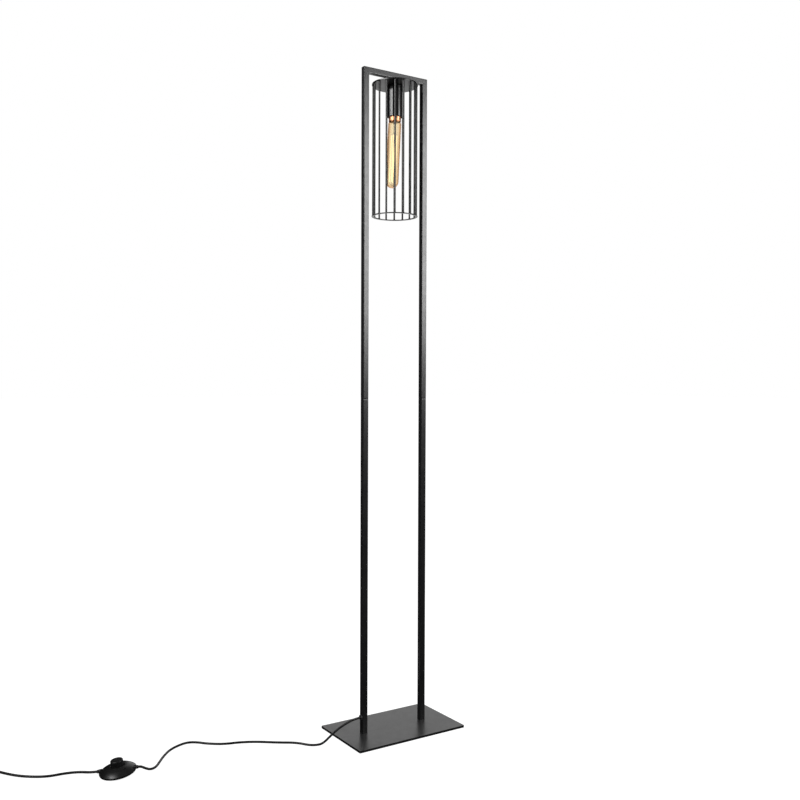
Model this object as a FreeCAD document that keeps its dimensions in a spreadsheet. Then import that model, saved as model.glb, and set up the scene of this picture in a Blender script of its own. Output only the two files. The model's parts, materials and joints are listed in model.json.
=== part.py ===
import FreeCAD, Part
import math
import os
import re
import Sketcher

# A floor lamp: two square posts and a top bar on a flat base plate, a round cage of upright
# bars hanging from the bar, a tubular bulb in a plain cup inside it, and a mains cord with a
# foot switch. Millimetres. The origin is the middle of the base, on the floor; X runs along
# the frame, Y away from the front, Z up. Sizes are in millimetres, degrees or counts.

# Frame of square tube
overall_height = 1500
frame_width = 170
tube_size = 13
tube_wall = 1.5
tube_corner = 1.2
joint_height = 760
coupler_length = 80
coupler_bore = 3.6
slip_clearance = 0.1

# Base plate with its pads and screws
base_length = 280
base_width = 175
plate_thickness = 5
plate_corner = 2
pad_height = 1
pad_radius = 10
pad_inset = 20
foot_insert_height = 16
screw_radius = 2.5
screw_head_radius = 4.8
screw_head_height = 2.6
screw_length = 16
thread_clearance = 0.05

# Cage
cage_drop = 12
cage_height = 300
disc_radius = 52.5
disc_thickness = 3
disc_edge = 0.5
ring_inner_radius = 47
ring_thickness = 2
bar_count = 16
bar_circle = 49.5
bar_radius = 2
bar_phase = 13

# Threaded tube that hangs the cage and the lampholder from the bar
nipple_radius = 5
nipple_bore = 3.75
spacer_radius = 8
nut_flats = 14
nut_thickness = 3

# Lampholder
cover_radius = 17.5
cover_length = 71
cover_wall = 1.2
cover_shoulder = 2
holder_recess = 2
holder_gap = 0.3
holder_wall = 1.6
socket_depth = 27
partition = 4
chamber_height = 12
hub_height = 6
shell_thickness = 0.5
shell_length = 20
leaf_drop = 4.8
leaf_length = 18
leaf_fold = 1.5
leaf_pad_start = 2
leaf_pad_end = 3
leaf_width = 6
leaf_thickness = 0.5
contact_gap = 0.2
terminal_length = 5
terminal_height = 6
terminal_offset = 8
terminal_corner = 0.6

# Bulb
bulb_length = 185
glass_radius = 14.9
glass_wall = 0.8
glass_neck_radius = 12.2
glass_neck_length = 7
glass_shoulder = 3
bulb_lean = 2.5
lean_direction = 33
cap_radius = 13.1
cap_skirt_radius = 13.9
cap_skirt_length = 11
cap_thread_length = 16
cap_wall = 0.4
cap_slope = 1
cap_top_width = 5
insulator_inset = 2
insulator_rim = 1
insulator_height = 5
bulb_contact_radius = 4.8
bulb_contact_height = 2
stem_length = 26
stem_radius = 3
stem_flare_start = 4
stem_flare_end = 2
filament_length = 107
filament_radius = 1
filament_circle = 6.5
filament_count = 4
support_radius = 0.35
support_drop = 9
support_gap = 0.25

# Mains cord, its exit and its coil
cord_radius = 2.5
core_radius = 1
core_spacing = 2.4
core_straight = 3
sheath_end_height = 2
exit_height = 41.5
bush_radius = 6
bush_length = 3
bush_neck_radius = 4
bush_barb_radius = 4.6
bush_barb_slope = 0.4
bush_mouth = 0.9
bush_edge = 1
bend_at_bar = 8
bend_at_corner = 10
bend_at_exit = 5.5
coil_radius = 36
coil_gap = 0.6
coil_turns = 3
coil_across = -841
coil_depth = 281
coil_direction = 122
coil_lead_in = 24
tail_run = 18
tail_turn = -18
tie_thickness = 0.8
tie_width = 4
tie_gap = 0.3
tie_slack = 0.6

# Foot switch
switch_across = -605.3
switch_depth = 90.8
switch_radius = 37
switch_foot_radius = 35.2
switch_base_height = 2.5
switch_base_inset = 0.8
switch_foot_rise = 1
switch_edge_height = 4
switch_dome_height = 14.5
switch_dome_arc = 42
switch_wall = 2
switch_hole_edge = 1
switch_tilt = 7
switch_turn = -30
switch_screw_circle = 27
switch_screw_radius = 1.6
switch_screw_count = 3
switch_boss_radius = 3.2
switch_boss_height = 6
button_radius = 12.6
button_gap = 0.4
button_height = 26
button_edge = 1.6
button_wall = 2
button_flange = 2
button_flange_reach = 2
button_flange_play = 1
button_travel = 3
collar_radius = 3.5
collar_reach = 41
collar_height = 6.2
collar_lead = 14
mechanism_radius = 8
mechanism_height = 8
plunger_radius = 3
spring_radius = 5
spring_wire = 0.4
spring_turns = 5

# Plug
plug_width = 35
plug_thickness = 13.7
plug_length = 36
plug_back_width = 14
plug_back_thickness = 10
relief_length = 24
relief_radius = 4.6
relief_wall = 0.7
pin_radius = 2
pin_length = 19
pin_spacing = 18.6

# Every number named above goes into the sheet, which drives the model, under the same name
sizes = {name: number for name, number in dict(globals()).items() if type(number) in (int, float)}
Vector = FreeCAD.Vector
document = FreeCAD.newDocument("CageFloorLamp")
sheet = document.addObject("Spreadsheet::Sheet", "Sizes")
for row, (name, number) in enumerate(sizes.items(), start=1):
    sheet.set("A%d" % row, name)
    sheet.set("B%d" % row, str(number))
    sheet.setAlias("B%d" % row, name)
document.recompute()

# Levels and places that follow from the sizes
PLATE_TOP = "(pad_height + plate_thickness)"
POST_X = "((frame_width - tube_size) / 2)"
BORE = "(tube_size - 2 * tube_wall)"
BAR_BOTTOM = "(overall_height - tube_size)"
DISC_TOP = "(%s - cage_drop)" % BAR_BOTTOM
DISC_BOTTOM = "(%s - disc_thickness)" % DISC_TOP
RING_BOTTOM = "(%s - cage_height)" % DISC_TOP
RING_TOP = "(%s + ring_thickness)" % RING_BOTTOM
HOLDER_MOUTH = "(%s - cover_length + holder_recess)" % DISC_BOTTOM
HOLDER_RADIUS = "(cover_radius - cover_wall - holder_gap)"
SOCKET_RADIUS = "(%s - holder_wall)" % HOLDER_RADIUS
SOCKET_FLOOR = "(%s + socket_depth)" % HOLDER_MOUTH
CHAMBER_FLOOR = "(%s + partition)" % SOCKET_FLOOR
CHAMBER_TOP = "(%s + chamber_height)" % CHAMBER_FLOOR
CONTACT_TIP = "(%s - leaf_drop - contact_gap)" % SOCKET_FLOOR
CAP_HEIGHT = "(bulb_contact_height + insulator_height + cap_thread_length + cap_skirt_length)"
CAP_RIM = "(%s - %s)" % (CONTACT_TIP, CAP_HEIGHT)
GLASS_LENGTH = "(bulb_length - %s)" % CAP_HEIGHT
CABLE_LEVEL = "(overall_height - tube_size / 2)"
BUSH_FACE = "(frame_width / 2 + bush_length)"
PIPE_HOLE = "(nipple_radius + thread_clearance)"


def bound(text):
    """An expression whose size names point at the sheet."""
    def point(word):
        return "Sizes." + word.group(0) if word.group(0) in sizes else word.group(0)
    return re.sub(r"[a-z][a-z_]+", point, text)


def value(text):
    """The number that an expression of size names gives now."""
    return float(sheet.evalExpression(bound(text)))


# Ways of making a piece

def new_body(label):
    body = document.addObject("PartDesign::Body", label)
    body.Label = label
    return body


def new_sketch(body, role, level=None):
    """A sketch on one of the body's own planes, raised along the plane's normal if wanted."""
    sketch = body.newObject("Sketcher::SketchObject", body.Label + "_sketch")
    plane = next(item for item in body.Origin.OriginFeatures if item.Role == role)
    sketch.AttachmentSupport = [(plane, "")]
    sketch.MapMode = "FlatFace"
    if level is not None:
        sketch.setExpression("AttachmentOffset.Base.z", bound(level))
    return sketch


def pin(sketch, edge, end, axis, text):
    """Ties one end of an edge to its distance from the sketch's origin along one axis."""
    number = value(text)
    kind = ("DistanceX", "DistanceY")[axis]
    if abs(number) < 1e-9:
        sketch.addConstraint(Sketcher.Constraint("PointOnObject", edge, end, (-2, -1)[axis]))
        return
    if number > 0:
        index = sketch.addConstraint(Sketcher.Constraint(kind, -1, 1, edge, end, number))
        sketch.setExpression("Constraints[%d]" % index, bound(text))
        return
    index = sketch.addConstraint(Sketcher.Constraint(kind, edge, end, -1, 1, -number))
    sketch.setExpression("Constraints[%d]" % index, bound("-(%s)" % text))


def add_loop(sketch, corners):
    """A closed outline. A corner is (across, up), with the radius of the arc that leads to the
    next corner where that edge is curved: above zero if the arc turns left, below if right."""
    first = sketch.GeometryCount
    points = [Vector(value(corner[0]), value(corner[1]), 0) for corner in corners]
    ends = []
    radii = []
    for number, corner in enumerate(corners):
        start = points[number]
        finish = points[(number + 1) % len(points)]
        if len(corner) == 2:
            sketch.addGeometry(Part.LineSegment(start, finish), False)
            ends.append((1, 2))
            continue
        radius = value(corner[2])
        chord = finish - start
        left = Vector(-chord.y, chord.x, 0).normalize()
        reach = math.sqrt(max(radius ** 2 - chord.Length ** 2 / 4, 0))
        centre = (start + finish) * 0.5 + left * math.copysign(reach, radius)
        sweep = [math.atan2(point.y - centre.y, point.x - centre.x) for point in (start, finish)]
        ends.append((1, 2) if radius > 0 else (2, 1))
        if radius < 0:
            sweep.reverse()
        circle = Part.Circle(centre, Vector(0, 0, 1), abs(radius))
        sketch.addGeometry(Part.ArcOfCircle(circle, sweep[0], sweep[1]), False)
        radii.append((first + number, corner[2] if radius > 0 else "-(%s)" % corner[2]))
    for number, corner in enumerate(corners):
        after = (number + 1) % len(corners)
        sketch.addConstraint(Sketcher.Constraint(
            "Coincident", first + number, ends[number][1], first + after, ends[after][0]))
        for axis in (0, 1):
            pin(sketch, first + number, ends[number][0], axis, corner[axis])
    for edge, text in radii:
        index = sketch.addConstraint(Sketcher.Constraint("Radius", edge, value(text)))
        sketch.setExpression("Constraints[%d]" % index, bound(text))


def add_circle(sketch, radius, across="0", up="0"):
    """A circle at a place on the sketch."""
    centre = Vector(value(across), value(up), 0)
    edge = sketch.addGeometry(Part.Circle(centre, Vector(0, 0, 1), value(radius)), False)
    pin(sketch, edge, 3, 0, across)
    pin(sketch, edge, 3, 1, up)
    index = sketch.addConstraint(Sketcher.Constraint("Radius", edge, value(radius)))
    sketch.setExpression("Constraints[%d]" % index, bound(radius))


def rectangle(width, height, corner=None):
    """The corners of a centred rectangle, rounded if a corner radius is given."""
    half_width = "(%s) / 2" % width
    half_height = "(%s) / 2" % height
    if corner is None:
        return [("-(%s)" % half_width, "-(%s)" % half_height), (half_width, "-(%s)" % half_height),
                (half_width, half_height), ("-(%s)" % half_width, half_height)]
    inner_width = "(%s - %s)" % (half_width, corner)
    inner_height = "(%s - %s)" % (half_height, corner)
    return [("-" + inner_width, "-(%s)" % half_height), (inner_width, "-(%s)" % half_height, corner),
            (half_width, "-" + inner_height), (half_width, inner_height, corner),
            (inner_width, half_height), ("-" + inner_width, half_height, corner),
            ("-(%s)" % half_width, inner_height), ("-(%s)" % half_width, "-" + inner_height, corner)]


def pad(body, sketch, length, symmetric=False):
    """Material along the sketch's normal."""
    feature = body.newObject("PartDesign::Pad", body.Label + "_pad")
    feature.Profile = sketch
    feature.Midplane = symmetric
    feature.setExpression("Length", bound(length))
    return feature


def pocket(body, sketch, length, symmetric=False, along_normal=False):
    """A cut against the sketch's normal, or along it; it has to take material away."""
    document.recompute()
    before = body.Shape.Volume
    feature = body.newObject("PartDesign::Pocket", body.Label + "_pocket")
    feature.Profile = sketch
    feature.Midplane = symmetric
    feature.Reversed = along_normal
    feature.setExpression("Length", bound(length))
    document.recompute()
    if body.Shape.Volume > before - 0.1:
        raise ValueError("a pocket of %s cuts nothing" % body.Label)
    return feature


def extruded(label, loops, length, role="XY_Plane", symmetric=False):
    """A piece of one section, from outlines on one of its planes."""
    body = new_body(label)
    sketch = new_sketch(body, role)
    for loop in loops:
        if isinstance(loop, str):
            add_circle(sketch, loop)
        else:
            add_loop(sketch, loop)
    pad(body, sketch, length, symmetric)
    return body


def turned(label, corners):
    """A piece of round section about its own Z axis; corners are (radius, height)."""
    body = new_body(label)
    sketch = new_sketch(body, "XZ_Plane")
    add_loop(sketch, corners)
    turn = body.newObject("PartDesign::Revolution", label + "_turn")
    turn.Profile = sketch
    turn.ReferenceAxis = (sketch, ["V_Axis"])
    turn.Angle = 360
    return body


def place(piece, across="0", depth="0", up="0"):
    """Puts a piece at a point that follows the sizes."""
    for axis, text in zip("xyz", (across, depth, up)):
        piece.setExpression("Placement.Base." + axis, bound(text))
    return piece


def group(label, pieces):
    """Several separate solids kept under one name."""
    compound = document.addObject("Part::Compound", label)
    compound.Links = pieces
    compound.Label = label
    return compound


def solid(label, shape, placement=None):
    """A piece whose shape is worked out here."""
    feature = document.addObject("Part::Feature", label)
    feature.Label = label
    feature.Shape = shape
    if placement is not None:
        feature.Placement = placement
    return feature


# Cords and wires: round sections swept along straight runs and arcs

def arc_by_tangent(start, corner, finish):
    """The arc that leaves start towards corner and arrives at finish from it."""
    middle = (start + finish) * 0.5
    leg = (corner - start).Length
    across = (finish - start).Length / 2
    if across > leg * 0.9999999:
        return Part.LineSegment(start, finish).toShape()
    share = (across / leg) / (1 + across / leg)
    return Part.Arc(start, middle + (corner - middle) * share, finish).toShape()


def rounded_route(points, bends=None):
    """Straight runs through the points, joined by tangent arcs. Without given bends each arc is
    as large as its two runs allow. Returns the edges and the radii."""
    edges = []
    radii = []
    start = points[0]
    for number in range(1, len(points) - 1):
        corner = points[number]
        back = points[number - 1] - corner
        ahead = points[number + 1] - corner
        half_turn = (math.pi - back.getAngle(ahead)) / 2
        if bends is None:
            cut = 0.45 * min(back.Length, ahead.Length)
            radii.append(cut / math.tan(half_turn))
        else:
            radii.append(bends[number - 1])
            cut = bends[number - 1] * math.tan(half_turn)
        leave = corner + back.normalize() * cut
        arrive = corner + ahead.normalize() * cut
        edges.append(Part.LineSegment(start, leave).toShape())
        edges.append(arc_by_tangent(leave, corner, arrive))
        start = arrive
    edges.append(Part.LineSegment(start, points[-1]).toShape())
    return edges, radii


def swept(edges, radius):
    """A round tube along joined edges."""
    path = Part.Wire(edges)
    start = edges[0].Vertexes[0].Point
    heading = edges[0].tangentAt(edges[0].FirstParameter)
    section = Part.Wire([Part.Circle(start, heading, radius).toShape()])
    return path.makePipeShell([section], True, False)


def cord(label, points, radius, bends=None):
    """A stretch of cord, with its length, tightest arc and volume compared with its section."""
    edges, radii = rounded_route(points, bends)
    piece = solid(label, swept(edges, radius))
    length = sum(edge.Length for edge in edges)
    share = piece.Shape.Volume / (math.pi * radius ** 2 * length)
    print("%s: %.0f mm long, volume over section times length %.4f" % (label, length, share))
    print("  radii", ", ".join("%.0f" % radius for radius in radii))
    return piece, length


def biarc(start, start_heading, finish, finish_heading):
    """Two tangent arcs from one point and heading to another."""
    span = finish - start
    both = start_heading + finish_heading
    spread = 2 * (1 - start_heading.dot(finish_heading))
    along = span.dot(both)
    leg = (math.sqrt(along ** 2 + spread * span.dot(span)) - along) / spread
    corners = (start + start_heading * leg, finish - finish_heading * leg)
    middle = (corners[0] + corners[1]) * 0.5
    return [arc_by_tangent(start, corners[0], middle), arc_by_tangent(middle, corners[1], finish)]


def climbing_turns(centre, radius, angle, quarters, levels, slopes):
    """Quarter turns about a vertical axis, each a pair of arcs, through the given levels."""
    edges = []
    for number in range(quarters):
        ends = []
        for step in (number, number + 1):
            turn = angle + step * math.pi / 2
            point = centre + Vector(math.cos(turn), math.sin(turn), 0) * radius
            point.z = levels[step]
            heading = Vector(-math.sin(turn), math.cos(turn), slopes[step]).normalize()
            ends.extend([point, heading])
        edges.extend(biarc(*ends))
    return edges


def least_gap(edges, radius):
    """The least space between stretches of a tube that aren't neighbours along it."""
    points = []
    walked = []
    total = 0
    for edge in edges:
        for step in range(12):
            share = step / 12
            parameter = edge.FirstParameter + (edge.LastParameter - edge.FirstParameter) * share
            points.append(edge.valueAt(parameter))
            walked.append(total + edge.Length * share)
        total += edge.Length
    gap = total
    for one in range(len(points)):
        for other in range(one + 1, len(points)):
            if walked[other] - walked[one] > 8 * radius:
                gap = min(gap, points[one].distanceToPoint(points[other]))
    return gap - 2 * radius


# ---------------------------------------------------------------- base

plate = new_body("base_plate")
plate_sketch = new_sketch(plate, "XY_Plane")
add_loop(plate_sketch, rectangle("base_length", "base_width", "plate_corner"))
pad(plate, plate_sketch, "plate_thickness")
for side in ("-", ""):
    hole_sketch = new_sketch(plate, "XY_Plane")
    add_circle(hole_sketch, "(screw_radius + 2 * slip_clearance)", side + POST_X)
    pocket(plate, hole_sketch, "plate_thickness", along_normal=True)
    seat_sketch = new_sketch(plate, "XY_Plane")
    add_circle(seat_sketch, "(screw_head_radius + 2 * slip_clearance)", side + POST_X)
    pocket(plate, seat_sketch, "screw_head_height", along_normal=True)
place(plate, up="pad_height")

pads = []
for across_sign in ("-", ""):
    for depth_sign in ("-", ""):
        foot_pad = document.addObject("Part::Cylinder", "pad")
        foot_pad.setExpression("Radius", bound("pad_radius"))
        foot_pad.setExpression("Height", bound("pad_height"))
        place(foot_pad, across_sign + "(base_length / 2 - pad_inset)",
              depth_sign + "(base_width / 2 - pad_inset)")
        pads.append(foot_pad)
pieces = {"base_pads": group("base_pads", pads), "base_plate": plate}

screws = []
inserts = []
for side in ("-", ""):
    screw = turned("base_screw", [
        ("0", "0"), ("screw_head_radius", "0"), ("screw_head_radius", "screw_head_height"),
        ("screw_radius", "screw_head_height"), ("screw_radius", "screw_length"),
        ("0", "screw_length")])
    screws.append(place(screw, side + POST_X, "0", "pad_height"))
    insert = extruded("foot_insert", [
        rectangle(BORE + " - 2 * slip_clearance", BORE + " - 2 * slip_clearance"),
        "(screw_radius + thread_clearance)"], "foot_insert_height")
    inserts.append(place(insert, side + POST_X, "0", PLATE_TOP))
pieces["base_screws"] = group("base_screws", screws)
pieces["foot_inserts"] = group("foot_inserts", inserts)

# ---------------------------------------------------------------- posts and bar

SQUARE_TUBE = [rectangle("tube_size", "tube_size", "tube_corner"), rectangle(BORE, BORE)]
HALF_TUBE = "(tube_size / 2)"

for name, side in (("left", "-"), ("right", "")):
    lower = extruded(name + "_lower_post", SQUARE_TUBE, "(joint_height - %s)" % PLATE_TOP)
    if name == "left":
        exit_sketch = new_sketch(lower, "YZ_Plane")
        add_circle(exit_sketch, "(bush_neck_radius + slip_clearance)", "0",
                   "(exit_height - %s)" % PLATE_TOP)
        pocket(lower, exit_sketch, "tube_size")
    pieces[name + "_lower_post"] = place(lower, side + POST_X, "0", PLATE_TOP)

    upper_length = "(overall_height - joint_height)"
    upper = extruded(name + "_upper_post", SQUARE_TUBE, upper_length)
    inward = "" if name == "left" else "-"
    outward = "-" if name == "left" else ""
    mitre_sketch = new_sketch(upper, "XZ_Plane")
    add_loop(mitre_sketch, [
        (outward + HALF_TUBE, upper_length),
        (inward + HALF_TUBE, "(%s - tube_size)" % upper_length),
        (inward + HALF_TUBE, upper_length)])
    pocket(upper, mitre_sketch, "2 * tube_size", symmetric=True)
    pieces[name + "_upper_post"] = place(upper, side + POST_X, "0", "joint_height")

bar = extruded("top_bar", SQUARE_TUBE, "frame_width", role="YZ_Plane", symmetric=True)
for side in ("-", ""):
    mitre_sketch = new_sketch(bar, "XZ_Plane")
    add_loop(mitre_sketch, [
        (side + "(frame_width / 2)", HALF_TUBE),
        (side + "(frame_width / 2)", "-" + HALF_TUBE),
        (side + "(frame_width / 2 - tube_size)", "-" + HALF_TUBE)])
    pocket(bar, mitre_sketch, "2 * tube_size", symmetric=True)
hanger_sketch = new_sketch(bar, "XY_Plane")
add_circle(hanger_sketch, PIPE_HOLE)
pocket(bar, hanger_sketch, "tube_size")
pieces["top_bar"] = place(bar, "0", "0", CABLE_LEVEL)

couplers = []
for side in ("-", ""):
    coupler = extruded("coupler", [
        rectangle(BORE + " - 2 * slip_clearance", BORE + " - 2 * slip_clearance"),
        "coupler_bore"], "coupler_length")
    couplers.append(place(coupler, side + POST_X, "0", "(joint_height - coupler_length / 2)"))
pieces["post_couplers"] = group("post_couplers", couplers)

# ---------------------------------------------------------------- hanger

nipple = extruded("hanger_nipple", ["nipple_radius", "nipple_bore"],
                  "(%s + tube_wall - %s)" % (BAR_BOTTOM, CHAMBER_TOP))
pieces["hanger_nipple"] = place(nipple, "0", "0", CHAMBER_TOP)

spacer = extruded("hanger_spacer", ["spacer_radius", PIPE_HOLE], "cage_drop")
pieces["hanger_spacer"] = place(spacer, "0", "0", DISC_TOP)

HEX = [("(nut_flats / sqrt(3) * cos(%d deg))" % angle, "(nut_flats / sqrt(3) * sin(%d deg))" % angle)
       for angle in range(30, 390, 60)]
nut = extruded("hanger_nut", [HEX, PIPE_HOLE], "nut_thickness")
pieces["hanger_nut"] = place(nut, "0", "0", "(%s - cover_wall - nut_thickness)" % DISC_BOTTOM)

# ---------------------------------------------------------------- cage

disc = turned("cage_top_disc", [
    (PIPE_HOLE, "0"), ("(disc_radius - disc_edge)", "0"), ("disc_radius", "disc_edge"),
    ("disc_radius", "(disc_thickness - disc_edge)"), ("(disc_radius - disc_edge)", "disc_thickness"),
    (PIPE_HOLE, "disc_thickness")])
pieces["cage_top_disc"] = place(disc, "0", "0", DISC_BOTTOM)

for number in range(int(value("bar_count"))):
    name = "cage_bar_%02d" % (number + 1)
    upright = document.addObject("Part::Cylinder", name)
    upright.Label = name
    upright.setExpression("Radius", bound("bar_radius"))
    upright.setExpression("Height", bound("(%s - %s)" % (DISC_BOTTOM, RING_TOP)))
    turn = "((bar_phase + %d * 360 / bar_count) * 1 deg)" % number
    pieces[name] = place(upright, "bar_circle * cos(%s)" % turn, "bar_circle * sin(%s)" % turn,
                         RING_TOP)

ring = turned("cage_bottom_ring", [
    ("ring_inner_radius", "0"), ("disc_radius", "0"), ("disc_radius", "ring_thickness"),
    ("ring_inner_radius", "ring_thickness")])
pieces["cage_bottom_ring"] = place(ring, "0", "0", RING_BOTTOM)

# ---------------------------------------------------------------- lampholder

cover = turned("lampholder_cover", [
    (PIPE_HOLE, "0"), (PIPE_HOLE, "-cover_wall"),
    ("(cover_radius - cover_shoulder)", "-cover_wall", "-(cover_shoulder - cover_wall)"),
    ("(cover_radius - cover_wall)", "-cover_shoulder"), ("(cover_radius - cover_wall)", "-cover_length"),
    ("cover_radius", "-cover_length"), ("cover_radius", "-cover_shoulder", "cover_shoulder"),
    ("(cover_radius - cover_shoulder)", "0")])
pieces["lampholder_cover"] = place(cover, "0", "0", DISC_BOTTOM)

CHAMBER_RADIUS = "(%s - 2 * holder_wall)" % HOLDER_RADIUS
holder = turned("lampholder_insert", [
    (SOCKET_RADIUS, "0"), (HOLDER_RADIUS, "0"),
    (HOLDER_RADIUS, "(socket_depth + partition + chamber_height + hub_height)"),
    (PIPE_HOLE, "(socket_depth + partition + chamber_height + hub_height)"),
    (PIPE_HOLE, "(socket_depth + partition + chamber_height)"),
    (CHAMBER_RADIUS, "(socket_depth + partition + chamber_height)"),
    (CHAMBER_RADIUS, "(socket_depth + partition)"), ("0", "(socket_depth + partition)"),
    ("0", "socket_depth"), (SOCKET_RADIUS, "socket_depth")])
pieces["lampholder_insert"] = place(holder, "0", "0", HOLDER_MOUTH)

shell = turned("lampholder_shell", [
    ("(%s - holder_gap - shell_thickness)" % SOCKET_RADIUS, "0"),
    ("(%s - holder_gap)" % SOCKET_RADIUS, "0"), ("(%s - holder_gap)" % SOCKET_RADIUS, "shell_length"),
    ("(%s - holder_gap - shell_thickness)" % SOCKET_RADIUS, "shell_length")])
pieces["lampholder_shell"] = place(shell, "0", "0", "(%s + holder_recess)" % HOLDER_MOUTH)

# A bent leaf: riveted flat under the partition, folded back down to the bulb's contact
leaf = extruded("lampholder_contact", [[
    ("-(leaf_length / 2)", "0"), ("(leaf_length / 2)", "0"),
    ("(leaf_length / 2)", "-leaf_thickness"),
    ("-(leaf_length / 2 - leaf_fold)", "-leaf_thickness"),
    ("-leaf_pad_start", "(leaf_thickness - leaf_drop)"),
    ("leaf_pad_end", "(leaf_thickness - leaf_drop)"), ("leaf_pad_end", "-leaf_drop"),
    ("-(leaf_pad_start + leaf_thickness / 2)", "-leaf_drop"),
    ("-(leaf_length / 2)", "-1.4 * leaf_thickness")]],
    "leaf_width", role="XZ_Plane", symmetric=True)
pieces["lampholder_contact"] = place(leaf, "0", "0", SOCKET_FLOOR)

terminals = []
for side in ("-", ""):
    block = extruded("terminal", [rectangle("terminal_length", "terminal_length", "terminal_corner")],
                     "terminal_height")
    terminals.append(place(block, side + "terminal_offset", "0", CHAMBER_FLOOR))
pieces["lampholder_terminals"] = group("lampholder_terminals", terminals)

# ---------------------------------------------------------------- bulb

NECK_WALL = "(glass_neck_radius - glass_wall)"
glass = turned("bulb_glass", [
    ("0", "-%s" % GLASS_LENGTH, "glass_radius"), ("glass_radius", "(glass_radius - %s)" % GLASS_LENGTH),
    ("glass_radius", "-glass_shoulder"), ("glass_neck_radius", "0"),
    ("glass_neck_radius", "glass_neck_length"),
    (NECK_WALL, "glass_neck_length"), (NECK_WALL, "0"),
    ("(glass_radius - glass_wall)", "-glass_shoulder"),
    ("(glass_radius - glass_wall)", "(glass_radius - %s)" % GLASS_LENGTH,
     "-(glass_radius - glass_wall)"), ("0", "(glass_wall - %s)" % GLASS_LENGTH)])
cap = turned("bulb_cap", [
    ("(cap_skirt_radius - cap_wall)", "0"), ("cap_skirt_radius", "0"),
    ("cap_skirt_radius", "(cap_skirt_length - cap_slope)"), ("cap_radius", "cap_skirt_length"),
    ("cap_radius", "(cap_skirt_length + cap_thread_length)"),
    ("(cap_radius - cap_top_width)", "(cap_skirt_length + cap_thread_length)"),
    ("(cap_radius - cap_top_width)", "(cap_skirt_length + cap_thread_length - cap_wall)"),
    ("(cap_radius - cap_wall)", "(cap_skirt_length + cap_thread_length - cap_wall)"),
    ("(cap_radius - cap_wall)", "cap_skirt_length"),
    ("(cap_skirt_radius - cap_wall)", "(cap_skirt_length - cap_slope)")])
CAP_TOP = "(cap_skirt_length + cap_thread_length)"
insulator = turned("bulb_insulator", [
    ("0", CAP_TOP), ("(cap_radius - insulator_inset)", CAP_TOP),
    ("(bulb_contact_radius + insulator_rim)", "(%s + insulator_height)" % CAP_TOP),
    ("0", "(%s + insulator_height)" % CAP_TOP)])
tip_contact = turned("bulb_contact", [
    ("0", "0"), ("bulb_contact_radius", "0"), ("bulb_contact_radius", "bulb_contact_height / 2"),
    ("(bulb_contact_radius - bulb_contact_height / 2)", "bulb_contact_height"),
    ("0", "bulb_contact_height")])
stem = turned("bulb_stem", [
    ("0", "-stem_length"), ("stem_radius", "-stem_length"), ("stem_radius", "-stem_flare_start"),
    ("(%s - slip_clearance)" % NECK_WALL, "stem_flare_end"),
    ("(%s - slip_clearance)" % NECK_WALL, "glass_neck_length"), ("0", "glass_neck_length")])

# Light strips stand round the axis; thin wires spread to them from the stem and meet below
strips = []
wires = []
support_step = Vector(0, 0, value("support_gap"))
strip_top = -value("stem_length") - value("support_drop") / 2
strip_end = strip_top - value("filament_length")
bead_level = Vector(0, 0, strip_end - value("support_drop"))
for number in range(int(value("filament_count"))):
    turn = math.radians(45 + number * 360 / value("filament_count"))
    out = Vector(math.cos(turn), math.sin(turn), 0)
    head = out * value("filament_circle") + Vector(0, 0, strip_top)
    foot = out * value("filament_circle") + Vector(0, 0, strip_end)
    strips.append(Part.makeCylinder(value("filament_radius"), value("filament_length"), foot))
    stem_end = out * value("stem_radius") / 2 - Vector(0, 0, value("stem_length"))
    runs = [(stem_end - support_step, head + support_step),
            (bead_level + out * value("support_radius") * 3, foot - support_step)]
    for start, finish in runs:
        run = finish - start
        wires.append(Part.makeCylinder(value("support_radius"), run.Length, start, run))
bead_radius = value("support_radius") * 3.5
bead_foot = bead_level - Vector(0, 0, bead_radius) - support_step
wires.append(Part.makeCylinder(bead_radius, bead_radius, bead_foot))

# The glass and what it holds lean in the cap, away to the left as seen from the front
lean_turn = math.radians(value("lean_direction"))
lean_axis = Vector(math.sin(lean_turn), math.cos(lean_turn), 0)
lean = FreeCAD.Placement(Vector(0, 0, value(CAP_RIM)),
                         FreeCAD.Rotation(lean_axis, value("bulb_lean")))
glass.Placement = lean
stem.Placement = lean
pieces["bulb_glass"] = glass
pieces["bulb_stem"] = stem
pieces["bulb_filaments"] = solid("bulb_filaments", Part.makeCompound(strips), lean)
pieces["bulb_wires"] = solid("bulb_wires", Part.makeCompound(wires), lean)
pieces["bulb_cap"] = place(cap, "0", "0", CAP_RIM)
pieces["bulb_insulator"] = place(insulator, "0", "0", CAP_RIM)
pieces["bulb_contact"] = place(tip_contact, "0", "0", "(%s - bulb_contact_height)" % CONTACT_TIP)

# ---------------------------------------------------------------- cable inside the frame

sheath_end = value(CHAMBER_TOP + " + sheath_end_height")
left_post = -value(POST_X)
inner_route = [
    Vector(0, 0, sheath_end), Vector(0, 0, value(CABLE_LEVEL)),
    Vector(left_post, 0, value(CABLE_LEVEL)), Vector(left_post, 0, value("exit_height")),
    Vector(-value(BUSH_FACE), 0, value("exit_height"))]
inner_bends = [value("bend_at_bar"), value("bend_at_corner"), value("bend_at_exit")]
pieces["inner_cable"], inner_length = cord("inner_cable", inner_route, cord_radius, inner_bends)

cores = []
terminal_top = value(CHAMBER_FLOOR + " + terminal_height")
for side in (-1, 1):
    core_start = side * value("core_spacing") / 2
    core_end = side * value("terminal_offset")
    core_edges, core_radii = rounded_route([
        Vector(core_start, 0, sheath_end), Vector(core_start, 0, sheath_end - core_straight),
        Vector(core_end, 0, terminal_top + core_straight), Vector(core_end, 0, terminal_top)])
    cores.append(swept(core_edges, value("core_radius")))
pieces["cable_cores"] = solid("cable_cores", Part.makeCompound(cores))

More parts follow.
